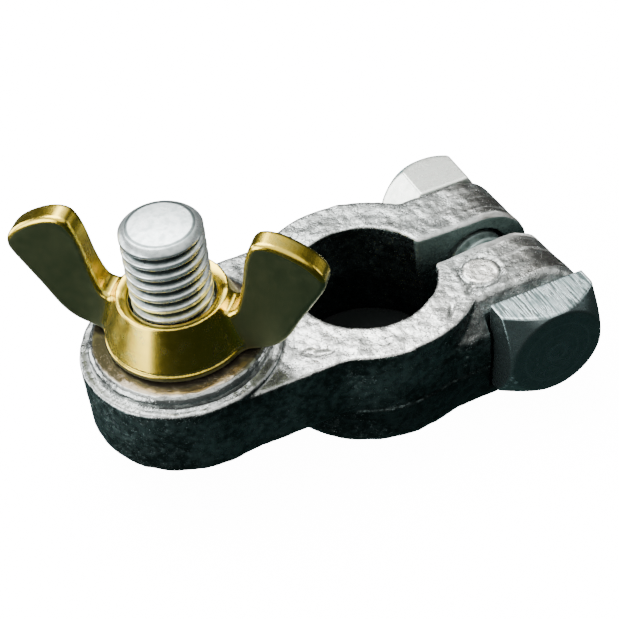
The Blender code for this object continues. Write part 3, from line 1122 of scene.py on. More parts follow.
@dataclass(frozen=True)
class Brass:
    """Plain brass: gold where it looks up, bright on its edges from rubbing and a painted highlight, and a
    painted dark green reflection on steep faces.
    """

    groups: GroupMaker
    gold: tuple[float, ...] = rgb(0.88, 0.64, 0.07)
    olive: tuple[float, ...] = rgb(0.48, 0.46, 0.14)
    steep_reflection: tuple[float, ...] = rgb(0.27, 0.29, 0.145)
    relief: Relief = Relief(0.15, 0.00006)

    def build(self) -> bpy.types.Material:
        """Makes the material.

        Returns:
            The material.
        """
        made, wires, shader = new_material("Brass")
        grain = place_group(wires, self.groups.grain, Size=0.0012, Pit_Amount=0.0)
        wear_and_glint = place_group(wires, self.groups.wear_and_glint, Start=0.555, Reach=0.05, Break_Up=0.01)
        clouds = wires.step(grain.outputs["Mottle"], 0.42, 0.72)
        colour = wires.blend(wires.math("MULTIPLY", clouds, 0.5), self.gold, self.olive)
        # Painted reflection and shade: steep faces take a dark green, faces that look up stay gold.
        steep = up_facing(wires, 0.22, 0.04)
        colour = wires.blend(steep, colour, self.steep_reflection)
        # Bright edges: partly wear, partly a painted highlight.
        flat = wires.math("SUBTRACT", 1.0, steep)
        colour = wires.blend(wires.math("MULTIPLY", wear_and_glint.outputs["Wear And Glint"], flat), colour, self.gold)
        shiny = wires.math("MULTIPLY_ADD", grain.outputs["Mottle"], 0.18, 0.16)
        shiny = wires.math("MULTIPLY_ADD", steep, 0.12, shiny)
        self.relief.surface(wires, shader, colour, shiny, grain.outputs["Height"])
        shader.inputs["Metallic"].default_value = 1.0
        return made


# --- The casting ---------------------------------------------------------------------


@dataclass(frozen=True)
class Nick:
    """A shallow dent in soft lead, longer than it is wide."""

    place: tuple[float, float, float]
    along: tuple[float, float, float]
    length: float
    width: float

    def distance(self, points: np.ndarray) -> np.ndarray:
        """Distances that are positive inside the dent.

        Args:
            points: An array of shape (n, 3), in metres.

        Returns:
            One distance for each point.
        """
        offset = points - np.array(self.place)
        run = offset @ np.array(self.along)
        beside = np.linalg.norm(offset - run[:, None] * np.array(self.along), axis=1)
        return self.width * (1 - np.hypot(run / self.length, beside / self.width))


@dataclass(frozen=True)
class Waves:
    """One layer of a casting's soft waviness."""

    height: float
    relief: Unevenness


@dataclass
class Casting:
    """The lead casting: arm, pad, split ring and two ears."""

    bench: Bench
    ring_radius: float = 0.01385
    bore_radius: float = 0.00872
    bore_taper: float = 1 / 9
    depth: float = 0.0149
    flange_depth: float = 0.0088
    lower_inset: float = 0.0002
    stud_x: float = -0.0236
    pad_radius: float = 0.0119
    arm_near_y: float = -0.0116
    arm_far_y: float = 0.0112
    disc_radius: float = 0.0108
    disc_rise: float = 0.0022
    rim_rise: float = 0.0006
    ear_end_x: float = 0.0240
    ear_end_radius: float = 0.0062
    ear_end_turn: float = math.radians(4)
    ear_depth: float = 0.0143
    near_face_y: float = -0.0131
    far_face_y: float = 0.0098
    slope_top_y: float = -0.0099
    slope_depth: float = 0.0042
    slit_half: float = 0.00246
    slit_narrowing: float = 0.0371
    bolt_x: float = 0.01675
    bolt_z: float = -0.00625
    near_hole: float = 0.0043
    far_hole: float = 0.00445
    recess_half: float = 0.0065
    seat_y: float = -0.01145
    stud_hole: float = 0.0050
    pocket_across: float = 0.0149
    pocket_top: float = -0.0030
    edge: float = 0.0005
    arm_fillet: float = 0.0009
    pad_fillet: float = 0.0002
    rim_edge: float = 0.00045
    disc_edge: float = 0.0010
    small_fillet: float = 0.00015
    nick_edge: float = 0.00012
    mark_x: float = 0.0125
    mark_y: float = -0.00615
    mark_radius: float = 0.0024
    mark_rise: float = 0.00014
    mark_softness: float = 0.00006
    groove_depth: float = 0.00020
    groove_width: float = 0.00026
    flash_z: float = -0.0089
    flash_proud: float = 0.00022
    flash_half: float = 0.00014
    split_angle: float = math.radians(110)
    bend_length: float = 0.007
    grid: float = 0.00024
    nicks: tuple[Nick, ...] = (
        Nick((-0.03135, -0.00922, -0.0029), (0.62, -0.52, -0.59), 0.0015, 0.00028),
        Nick((-0.03476, -0.00445, -0.0071), (0.50, -0.80, 0.33), 0.0012, 0.00025),
        Nick((-0.03190, -0.00868, -0.0081), (0.72, -0.69, 0.0), 0.0014, 0.00030),
        Nick((-0.03540, -0.00240, -0.0022), (0.10, -0.70, -0.71), 0.0013, 0.00024),
        Nick((-0.0101, -0.0089, 0.0000), (0.94, -0.34, 0.0), 0.0016, 0.00035),
        Nick((-0.0112, -0.0080, 0.0000), (0.99, -0.10, 0.0), 0.0009, 0.00030),
        Nick((0.0062, -0.0103, 0.0000), (0.60, 0.80, 0.0), 0.0011, 0.00028),
        Nick((0.0100, -0.0081, 0.0000), (0.80, 0.60, 0.0), 0.0012, 0.00030),
    )
    waves: tuple[Waves, ...] = (
        Waves(0.00006, Unevenness(3, 0.0045)),
        Waves(0.00007, Unevenness(8, 0.0015)),
        Waves(0.00004, Unevenness(5, 0.0006)),
    )
    drawn_in: float = 0.00003

    def plan(self, x: np.ndarray, y: np.ndarray, inset: float, with_arm: bool) -> np.ndarray:
        """Distances to the outline seen from above.

        Args:
            x: Distances from the bore's axis along the arm.
            y: Distances across it.
            inset: How far the outline is drawn in.
            with_arm: Whether the arm and the pad are part of it.

        Returns:
            Distances to the outline.
        """
        outline = np.hypot(x, y) - self.ring_radius
        ears = np.maximum(self.near_face_y - y, y - self.far_face_y)
        ears = np.maximum(ears, -x)
        outline = smooth_min(outline, ears, self.edge)
        if with_arm:
            sides = np.maximum(self.arm_near_y - y, y - self.arm_far_y)
            arm = np.maximum(sides, np.maximum(x, self.stud_x - x))
            pad = np.hypot(x - self.stud_x, y) - self.pad_radius
            outline = smooth_min(outline, smooth_min(arm, pad, self.pad_fillet), self.arm_fillet)
        return outline + inset

    def ear_end(self, x: np.ndarray, y: np.ndarray, z: np.ndarray) -> np.ndarray:
        """Distances to the top face and the ears' rounded ends, as one surface."""
        along = x * math.cos(self.ear_end_turn) + y * math.sin(self.ear_end_turn)
        return rounded_extrusion(along - self.ear_end_x, z, self.ear_end_radius)

    def solid(self, x: np.ndarray, y: np.ndarray, z: np.ndarray) -> np.ndarray:
        """Distances to the body before anything is cut from it.

        Args:
            x: Distances from the bore's axis along the arm.
            y: Distances across it.
            z: Heights above the top face.

        Returns:
            Distances to the body.
        """
        flange = self.plan(x, y, 0.0, with_arm=True)
        flange = smooth_max(flange, -self.flange_depth - z, self.edge)
        lower = self.plan(x, y, self.lower_inset, with_arm=False)
        lower = smooth_max(lower, -self.depth - z, 2 * self.edge)
        body = np.minimum(flange, lower)
        return smooth_max(body, self.ear_end(x, y, z), self.edge)

    def pad_top(self, x: np.ndarray, y: np.ndarray, z: np.ndarray) -> np.ndarray:
        """Distances to the pad's rim and its raised disc.

        Args:
            x: Distances from the bore's axis along the arm.
            y: Distances across it.
            z: Heights above the top face.

        Returns:
            Distances to the rim and the disc together.
        """
        reach = np.hypot(x - self.stud_x, y)
        rim = rounded_extrusion(reach - self.pad_radius, z - self.rim_rise, self.rim_edge)
        disc = rounded_extrusion(reach - self.disc_radius + 0.0001, z - self.disc_rise, self.disc_edge)
        return np.maximum(np.minimum(rim, disc), -self.flange_depth / 2 - z)

    def cuts(self, x: np.ndarray, y: np.ndarray, z: np.ndarray) -> list[np.ndarray]:
        """What is taken away.

        Args:
            x: Distances from the bore's axis along the arm.
            y: Distances across it.
            z: Heights above the top face.

        Returns:
            Distances for each cut, which are positive where metal goes.
        """
        ring = np.hypot(x, y) - self.ring_radius
        bore = self.bore_radius - z * self.bore_taper / 2 - np.hypot(x, y)
        slit = np.minimum(self.slit_half - self.slit_narrowing * x - np.abs(y), x)
        run = self.slope_top_y - self.near_face_y
        steep = math.hypot(run, self.slope_depth)
        slope = ((self.slope_top_y - y) * self.slope_depth + z * run) / steep
        side = self.bolt_x - self.recess_half
        floor = self.bolt_z - self.recess_half
        recess = np.minimum(np.minimum(x - side, z - floor), self.seat_y - y)
        bolt = np.hypot(x - self.bolt_x, z - self.bolt_z)
        near = np.minimum(self.near_hole - bolt, -y)
        far = np.minimum(self.far_hole - bolt, y)
        reach = np.hypot(x - self.stud_x, y)
        hex_pocket = -regular_polygon(x - self.stud_x, y, self.pocket_across, 6, HEX_TURN)
        return [
            bore,
            slit,
            np.minimum(slope, np.minimum(ring, x)),
            recess,
            near,
            far,
            np.minimum(-self.ear_depth - z, ring),
            self.stud_hole - reach,
            np.minimum(hex_pocket, self.pocket_top - z),
        ]

    def marks(self, x: np.ndarray, y: np.ndarray, z: np.ndarray) -> np.ndarray:
        """The relief of the ejector mark on the near ear's top face.

        Args:
            x: Distances from the bore's axis along the arm.
            y: Distances across it.
            z: Heights above the top face.

        Returns:
            How far the surface is drawn in at each point.
        """
        reach = np.hypot(x - self.mark_x, y - self.mark_y)
        raised = self.mark_rise / (1 + np.exp((reach - self.mark_radius) / self.mark_softness))
        groove = self.groove_depth * np.exp(-(((reach - self.mark_radius) / self.groove_width) ** 2))
        return np.where(z > -0.001, groove - raised, 0)

    def distance(self, points: np.ndarray) -> np.ndarray:
        """Distances to the whole casting.

        Args:
            points: An array of shape (n, 3), in metres.

        Returns:
            One distance for each point.
        """
        x, y, z = points.T
        body = smooth_min(self.solid(x, y, z), self.pad_top(x, y, z), self.small_fillet)
        flash = self.plan(x, y, -self.flash_proud, with_arm=False)
        flash = np.maximum(flash, np.abs(z - self.flash_z) - self.flash_half)
        flash = np.maximum(flash, self.ear_end(x, y, z))
        body = smooth_min(body, flash, self.small_fillet)
        for cut in self.cuts(x, y, z):
            body = smooth_max(body, cut, self.edge)
        for nick in self.nicks:
            body = smooth_max(body, nick.distance(points), self.nick_edge)
        return body + self.marks(x, y, z)

    def roughened(self, points: np.ndarray, faces: np.ndarray) -> np.ndarray:
        """Gives the surface the soft waviness of a casting.

        Args:
            points: The mesh's points.
            faces: Its quads.

        Returns:
            The moved points.
        """
        first = points[faces[:, 2]] - points[faces[:, 0]]
        second = points[faces[:, 3]] - points[faces[:, 1]]
        face_normals = np.cross(first, second)
        normals = np.zeros_like(points)
        for corner in range(4):
            np.add.at(normals, faces[:, corner], face_normals)
        normals /= np.maximum(np.linalg.norm(normals, axis=1), 1e-20)[:, None]
        relief = np.zeros(len(points))
        for layer in self.waves:
            relief += layer.height * layer.relief.at(points)
        return points + normals * (relief - self.drawn_in)[:, None]

    def split(self, whole: bpy.types.Object, name: str, keep_far: bool) -> bpy.types.Object:
        """Cuts the casting at the split plane and keeps one side, closed.

        Args:
            whole: The whole casting, about the bore's axis.
            name: The new object's name.
            keep_far: Whether to keep the far jaw's side.

        Returns:
            The new object.
        """
        bm = bmesh.new()
        bm.from_mesh(whole.data)
        across = Vector((-math.sin(self.split_angle), math.cos(self.split_angle), 0))
        self.drop_beyond(bm, across if keep_far else -across, keep_far)
        mesh = bpy.data.meshes.new(name)
        bm.to_mesh(mesh)
        bm.free()
        made = bpy.data.objects.new(name, mesh)
        bpy.context.scene.collection.objects.link(made)
        return made

    def drop_beyond(self, bm: bmesh.types.BMesh, outward: Vector, keep_far: bool) -> None:
        """Removes the other side of the split and closes the cut.

        Args:
            bm: The whole casting.
            outward: The direction that the cut face will point.
            keep_far: Whether the far jaw's side stays.
        """
        geometry = [*bm.verts, *bm.edges, *bm.faces]
        cut = bmesh.ops.bisect_plane(bm, geom=geometry, plane_co=(0, 0, 0), plane_no=outward, dist=1e-9)
        along = Vector((math.cos(self.split_angle), math.sin(self.split_angle), 0))
        cut_edges = [item for item in cut["geom_cut"] if isinstance(item, bmesh.types.BMEdge)]
        split_edges = [edge for edge in cut_edges if edge.verts[0].co.dot(along) > 0]
        bmesh.ops.split_edges(bm, edges=split_edges)
        drop = [face for face in bm.faces if self.is_far(face.calc_center_median()) != keep_far]
        bmesh.ops.delete(bm, geom=drop, context="FACES")
        open_edges = [edge for edge in bm.edges if edge.is_boundary]
        caps = bmesh.ops.holes_fill(bm, edges=open_edges, sides=0)["faces"]
        for face in caps:
            face.smooth = False
            for edge in face.edges:
                edge.smooth = False

    def is_far(self, centre: Vector) -> bool:
        """Whether a face with this centre belongs to the far jaw."""
        angle = math.atan2(centre.y, centre.x)
        return 0 < angle < self.split_angle

    def build(self, material: bpy.types.Material) -> list[bpy.types.Object]:
        """Makes both pieces and hangs the near one on its body.

        Args:
            material: The casting's metal.

        Returns:
            The near piece and the far one.
        """
        left, near = self.stud_x - self.pad_radius, self.near_face_y
        low = (left - MARGIN, near - 2 * MARGIN, -self.depth - MARGIN)
        high = (self.ear_end_x + 3 * MARGIN, self.ring_radius + MARGIN, self.disc_rise + MARGIN)
        points, faces = GridMesher(low, high, self.grid).build(self.distance)
        whole = mesh_object("whole_casting", self.roughened(points, faces), faces)
        pieces = []
        for name, keep_far in (("cast_clamp", False), ("cast_far_jaw", True)):
            made = self.split(whole, name, keep_far)
            made.data.transform(Matrix.Translation(self.bench.origin))
            dress(made, material)
            pieces.append(made)
        bpy.data.objects.remove(whole)
        near, far = pieces
        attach(near, Body.CLAMP.value)
        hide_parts("clamp_body")
        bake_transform(far)
        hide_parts("far_jaw")
        return pieces


# --- Threads -------------------------------------------------------------------------


class ThreadNodes:
    """A Geometry Nodes tree that makes a threaded rod along +Z from Z = 0."""

    inputs: tuple[tuple[str, str, float], ...] = (
        ("Radius", "NodeSocketFloat", 0.0047),
        ("Pitch", "NodeSocketFloat", 0.0015875),
        ("Thread Depth", "NodeSocketFloat", 0.0009),
        ("Length", "NodeSocketFloat", 0.02),
        ("Chamfer", "NodeSocketFloat", 0.0006),
        ("End Face", "NodeSocketFloat", 0.0036),
        ("Dome", "NodeSocketFloat", 0.0001),
    )

    def __init__(self) -> None:
        """Builds the tree."""
        self.tree = bpy.data.node_groups.new("Threaded rod", "GeometryNodeTree")
        face = self.tree.interface
        for name, kind, value in self.inputs:
            face.new_socket(name, in_out="INPUT", socket_type=kind).default_value = value
        for name, value in (("Steps Round", 96), ("Rows", 200)):
            face.new_socket(name, in_out="INPUT", socket_type="NodeSocketInt").default_value = value
        face.new_socket("Material", in_out="INPUT", socket_type="NodeSocketMaterial")
        face.new_socket("Geometry", in_out="OUTPUT", socket_type="NodeSocketGeometry")
        self.wires = Wiring(self.tree)
        self.source = self.wires.add("NodeGroupInput")
        self.lay_out()

    def clamp(self, value: object, low: object, high: object) -> Socket:
        """Keeps a value between two limits."""
        return self.wires.math("MINIMUM", self.wires.math("MAXIMUM", value, low), high)

    def crest(self, along: Socket, turn: Socket) -> Socket:
        """How much of the thread's depth is cut away at a point.

        Args:
            along: How far along the rod the point is.
            turn: Its angle round the rod, as a share of a full turn.

        Returns:
            The share, from 0 on a crest to 1 in a valley.
        """
        wires = self.wires
        phase = wires.math("SUBTRACT", wires.math("DIVIDE", along, self.source.outputs["Pitch"]), turn)
        saw = wires.math("FLOORED_MODULO", phase, 1.0)
        hill = wires.math("ABSOLUTE", wires.math("MULTIPLY_ADD", saw, 2.0, -1.0))
        return wires.step(hill, 0.22, 0.98)

    def end_profile(self, along: Socket, cap: Socket) -> Socket:
        """The radius that the chamfer leaves, near the far end.

        Args:
            along: How far along the rod the point is.
            cap: 1 on the rod's side, and less towards the middle of an end face.

        Returns:
            The radius.
        """
        wires, outputs = self.wires, self.source.outputs
        left = wires.math("SUBTRACT", outputs["Length"], along)
        share = self.clamp(wires.math("DIVIDE", left, outputs["Chamfer"]), 0.0, 1.0)
        share = wires.math("POWER", share, 0.6)
        rise = wires.math("SUBTRACT", outputs["Radius"], outputs["End Face"])
        radius = wires.math("MULTIPLY_ADD", share, rise, outputs["End Face"])
        return wires.math("MULTIPLY", radius, cap)

    def lay_out(self) -> None:
        """Places the nodes: a flat grid is rolled up, threaded and closed at both ends."""
        wires, outputs = self.wires, self.source.outputs
        inputs = {0: 1.0, 1: 1.0, 2: outputs["Steps Round"], 3: outputs["Rows"]}
        grid = wires.add("GeometryNodeMeshGrid", inputs)
        place = wires.add("GeometryNodeInputPosition").outputs[0]
        parts = wires.add("ShaderNodeSeparateXYZ", {0: place})
        turn = wires.math("ADD", parts.outputs["X"], 0.5)
        share = wires.math("ADD", parts.outputs["Y"], 0.5)
        cap_run = wires.math("MULTIPLY", outputs["Radius"], 0.5)
        total = wires.math("MULTIPLY_ADD", cap_run, 2.0, outputs["Length"])
        walk = wires.math("SUBTRACT", wires.math("MULTIPLY", share, total), cap_run)
        along = self.clamp(walk, 0.0, outputs["Length"])
        before = wires.math("ADD", walk, cap_run)
        after = wires.math("SUBTRACT", wires.math("ADD", outputs["Length"], cap_run), walk)
        nearest = wires.math("DIVIDE", wires.math("MINIMUM", before, after), cap_run)
        cap = self.clamp(nearest, 0.0, 1.0)
        fade_run = wires.math("MULTIPLY", outputs["Pitch"], 0.25)
        left = wires.math("SUBTRACT", wires.math("SUBTRACT", outputs["Length"], along), outputs["Chamfer"])
        fade = self.clamp(wires.math("DIVIDE", left, fade_run), 0.0, 1.0)
        depth = wires.math("MULTIPLY", self.crest(along, turn), outputs["Thread Depth"])
        cut = wires.math("MULTIPLY", depth, fade)
        threaded = wires.math("MULTIPLY", wires.math("SUBTRACT", outputs["Radius"], cut), cap)
        radius = wires.math("MINIMUM", threaded, self.end_profile(along, cap))
        crown = wires.math("SUBTRACT", 1.0, wires.math("POWER", cap, 2.0))
        dome = wires.math("MULTIPLY", outputs["Dome"], crown)
        at_top = wires.math("GREATER_THAN", walk, outputs["Length"])
        height = wires.math("MULTIPLY_ADD", dome, at_top, along)
        angle = wires.math("MULTIPLY", turn, math.tau)
        x = wires.math("MULTIPLY", radius, wires.math("COSINE", angle))
        y = wires.math("MULTIPLY", radius, wires.math("SINE", angle))
        where = wires.add("ShaderNodeCombineXYZ", {0: x, 1: y, 2: height}).outputs[0]
        moved = wires.add("GeometryNodeSetPosition", {"Geometry": grid.outputs[0], "Position": where})
        welded = wires.add("GeometryNodeMergeByDistance", {0: moved.outputs[0], "Distance": 1e-7})
        smooth = wires.add("GeometryNodeSetShadeSmooth", {0: welded.outputs[0]})
        real = wires.add("GeometryNodeRealizeInstances", {0: smooth.outputs[0]})
        inputs = {"Geometry": real.outputs[0], "Material": outputs["Material"]}
        painted = wires.add("GeometryNodeSetMaterial", inputs)
        wires.add("NodeGroupOutput", {0: painted.outputs[0]})

    def rod(
        self, name: str, material: bpy.types.Material, values: dict[str, float | int]
    ) -> bpy.types.Object:
        """Makes one rod as a plain mesh.

        Args:
            name: The object's name.
            material: Its metal.
            values: A value for each input that differs from its default.

        Returns:
            An object at the origin.
        """
        holder = bpy.data.objects.new("thread_holder", bpy.data.meshes.new("thread_holder"))
        bpy.context.scene.collection.objects.link(holder)
        modifier = holder.modifiers.new("Thread", "NODES")
        modifier.node_group = self.tree
        for item in self.tree.interface.items_tree:
            if item.in_out == "INPUT" and item.name in values:
                modifier[item.identifier] = values[item.name]
            if item.in_out == "INPUT" and item.name == "Material":
                modifier[item.identifier] = material
        graph = bpy.context.evaluated_depsgraph_get()
        mesh = bpy.data.meshes.new_from_object(holder.evaluated_get(graph))
        mesh.name = name
        bpy.data.objects.remove(holder)
        made = bpy.data.objects.new(name, mesh)
        bpy.context.scene.collection.objects.link(made)
        return made


def outward(made: bpy.types.Object) -> None:
    """Turns every face of a closed mesh outwards.

    Args:
        made: The object that has the mesh.
    """
    bm = bmesh.new()
    bm.from_mesh(made.data)
    bmesh.ops.remove_doubles(bm, verts=bm.verts, dist=1e-8)
    bmesh.ops.recalc_face_normals(bm, faces=bm.faces)
    bm.to_mesh(made.data)
    bm.free()


def join(target: bpy.types.Object, other: bpy.types.Object) -> None:
    """Adds another object's mesh to a target, and removes the other object.

    Args:
        target: The object that stays.
        other: The object that goes.
    """
    bm = bmesh.new()
    bm.from_mesh(target.data)
    bm.from_mesh(other.data)
    bm.to_mesh(target.data)
    bm.free()
    bpy.data.objects.remove(other)


@dataclass
class TerminalStud:
    """The stud that stands in the pad, with its head in the pocket underneath."""

    bench: Bench
    threads: ThreadNodes
    x: float = -0.0236
    radius: float = 0.0047
    top_z: float = 0.0184
    bottom_z: float = -0.0080
    head_across: float = 0.0143
    head_top_z: float = -0.0033
    head_low_z: float = -0.0085
    pitch: float = 0.0015875
    depth: float = 0.00102
    end_face: float = 0.0037
    chamfer: float = 0.0007
    dome: float = 0.00012
    steps_round: int = 97
    rows_per_pitch: int = 18
    corner_radius: float = 0.0079
    head_edge: float = 0.0003
    grid: float = 0.0003

    def head_distance(self, points: np.ndarray) -> np.ndarray:
        """Distances to the hex head.

        Args:
            points: An array of shape (n, 3), in metres.

        Returns:
            One distance for each point.
        """
        x, y, z = points.T
        plan = regular_polygon(x - self.x, y, self.head_across, 6, HEX_TURN)
        plan = smooth_max(plan, np.hypot(x - self.x, y) - self.corner_radius, self.head_edge)
        rise = np.maximum(z - self.head_top_z, self.head_low_z - z)
        return rounded_extrusion(plan, rise, self.head_edge)

    def build(self, material: bpy.types.Material) -> bpy.types.Object:
        """Makes the stud.

        Args:
            material: Its metal.

        Returns:
            The finished object.
        """
        length = self.top_z - self.bottom_z
        values = {
            "Radius": self.radius,
            "Pitch": self.pitch,
            "Thread Depth": self.depth,
            "Length": length,
            "Chamfer": self.chamfer,
            "End Face": self.end_face,
            "Dome": self.dome,
            "Steps Round": self.steps_round,
            "Rows": int(length / self.pitch * self.rows_per_pitch),
        }
        made = self.threads.rod("threaded_stud", material, values)
        made.data.transform(Matrix.Translation((self.x, 0, self.bottom_z)))
        outward(made)
        half = self.head_across * 0.6
        low = (self.x - half - MARGIN, -half - MARGIN, self.head_low_z - MARGIN)
        high = (self.x + half + MARGIN, half + MARGIN, self.head_top_z + MARGIN)
        head = mesh_object("stud_head", *GridMesher(low, high, self.grid).build(self.head_distance))
        join(made, head)
        made.data.transform(Matrix.Translation(self.bench.origin))
        dress(made, material)
        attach(made, Body.CLAMP.value)
        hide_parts("terminal_stud")
        return made


@dataclass
class PinchBolt:
    """The square-headed bolt that draws the ears together."""

    bench: Bench
    threads: ThreadNodes
    x: float = 0.01675
    z: float = -0.00625
    across: float = 0.0124
    seat_y: float = -0.01175
    front_y: float = -0.01705
    face_radius: float = 0.00594
    radius: float = 0.0039
    end_y: float = 0.0188
    pitch: float = 0.001411
    depth: float = 0.0008
    end_face: float = 0.0031
    chamfer: float = 0.0007
    dome: float = 0.00005
    steps_round: int = 65
    rows_per_pitch: int = 12
    edge: float = 0.00018
    margin: float = 0.0005
    grid: float = 0.00014

    def head_distance(self, points: np.ndarray) -> np.ndarray:
        """Distances to the crowned square head.

        Args:
            points: An array of shape (n, 3), in metres.

        Returns:
            One distance for each point.
        """
        x, y, z = points.T
        plan = regular_polygon(x - self.x, z - self.z, self.across, 4, 0.0)
        reach = np.hypot(x - self.x, z - self.z)
        crown = (self.front_y - y + reach - self.face_radius) / math.sqrt(2)
        ends = np.maximum(self.front_y - y, y - self.seat_y)
        head = smooth_max(plan, ends, self.edge)
        return smooth_max(head, crown, self.edge)

    def build(self, material: bpy.types.Material, shaded_plate: bpy.types.Material) -> list[bpy.types.Object]:
        """Makes the bolt.

        Args:
            material: The head's metal.
            shaded_plate: The threads' metal, zinc plate darkened as painted shade.

        Returns:
            The head and the shank.
        """
        half = self.across / 2 + self.margin
        low = (self.x - half, self.front_y - self.margin, self.z - half)
        high = (self.x + half, self.seat_y + self.margin, self.z + half)
        made = mesh_object("square_bolt", *GridMesher(low, high, self.grid).build(self.head_distance))
        start = self.seat_y - self.margin
        length = self.end_y - start
        values = {
            "Radius": self.radius,
            "Pitch": self.pitch,
            "Thread Depth": self.depth,
            "Length": length,
            "Chamfer": self.chamfer,
            "End Face": self.end_face,
            "Dome": self.dome,
            "Steps Round": self.steps_round,
            "Rows": int(length / self.pitch * self.rows_per_pitch),
        }
        shank = self.threads.rod("bolt_shank", shaded_plate, values)
        shank.data.transform(Matrix.Rotation(math.radians(-90), 4, "X"))
        shank.data.transform(Matrix.Translation((self.x, start, self.z)))
        outward(shank)
        for piece, metal in ((made, material), (shank, shaded_plate)):
            piece.data.transform(Matrix.Translation(self.bench.origin))
            dress(piece, metal)
            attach(piece, Body.CLAMP.value)
        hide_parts("pinch_bolt")
        return [made, shank]


@dataclass
class PinchNut:
    """The hex nut on the far ear."""

    bench: Bench
    x: float = 0.01675
    z: float = -0.00625
    near_y: float = 0.0101
    thickness: float = 0.0068
    across: float = 0.0119
    face_radius: float = 0.0057
    crown_slope: float = 1.15
    hole_radius: float = 0.0042
    hole_flare: float = 0.05
    edge: float = 0.0004
    grid: float = 0.00016

    def distance(self, points: np.ndarray) -> np.ndarray:
        """Distances to the nut.

        Args:
            points: An array of shape (n, 3), in metres.

        Returns:
            One distance for each point.
        """
        x, y, z = points.T
        far_y = self.near_y + self.thickness
        plan = regular_polygon(x - self.x, z - self.z, self.across, 6, HEX_TURN)
        reach = np.hypot(x - self.x, z - self.z)
        steep = math.hypot(1, self.crown_slope)
        crown = (y - far_y + (reach - self.face_radius) * self.crown_slope) / steep
        ends = np.maximum(self.near_y - y, y - far_y)
        nut = smooth_max(plan, ends, self.edge)
        nut = smooth_max(nut, crown, self.edge)
        hole = self.hole_radius + (y - self.near_y) * self.hole_flare
        return smooth_max(nut, hole - reach, self.edge)

    def build(self, material: bpy.types.Material) -> bpy.types.Object:
        """Makes the nut.

        Args:
            material: Its metal.

        Returns:
            The finished object.
        """
        half = self.across * 0.6
        low = (self.x - half, self.near_y - MARGIN, self.z - half)
        high = (self.x + half, self.near_y + self.thickness + MARGIN, self.z + half)
        points, faces = GridMesher(low, high, self.grid).build(self.distance)
        made = mesh_object("hex_nut", self.bench.carry(points), faces)
        dress(made, material)
        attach(made, Body.NUT.value)
        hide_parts("pinch_nut")
        return made


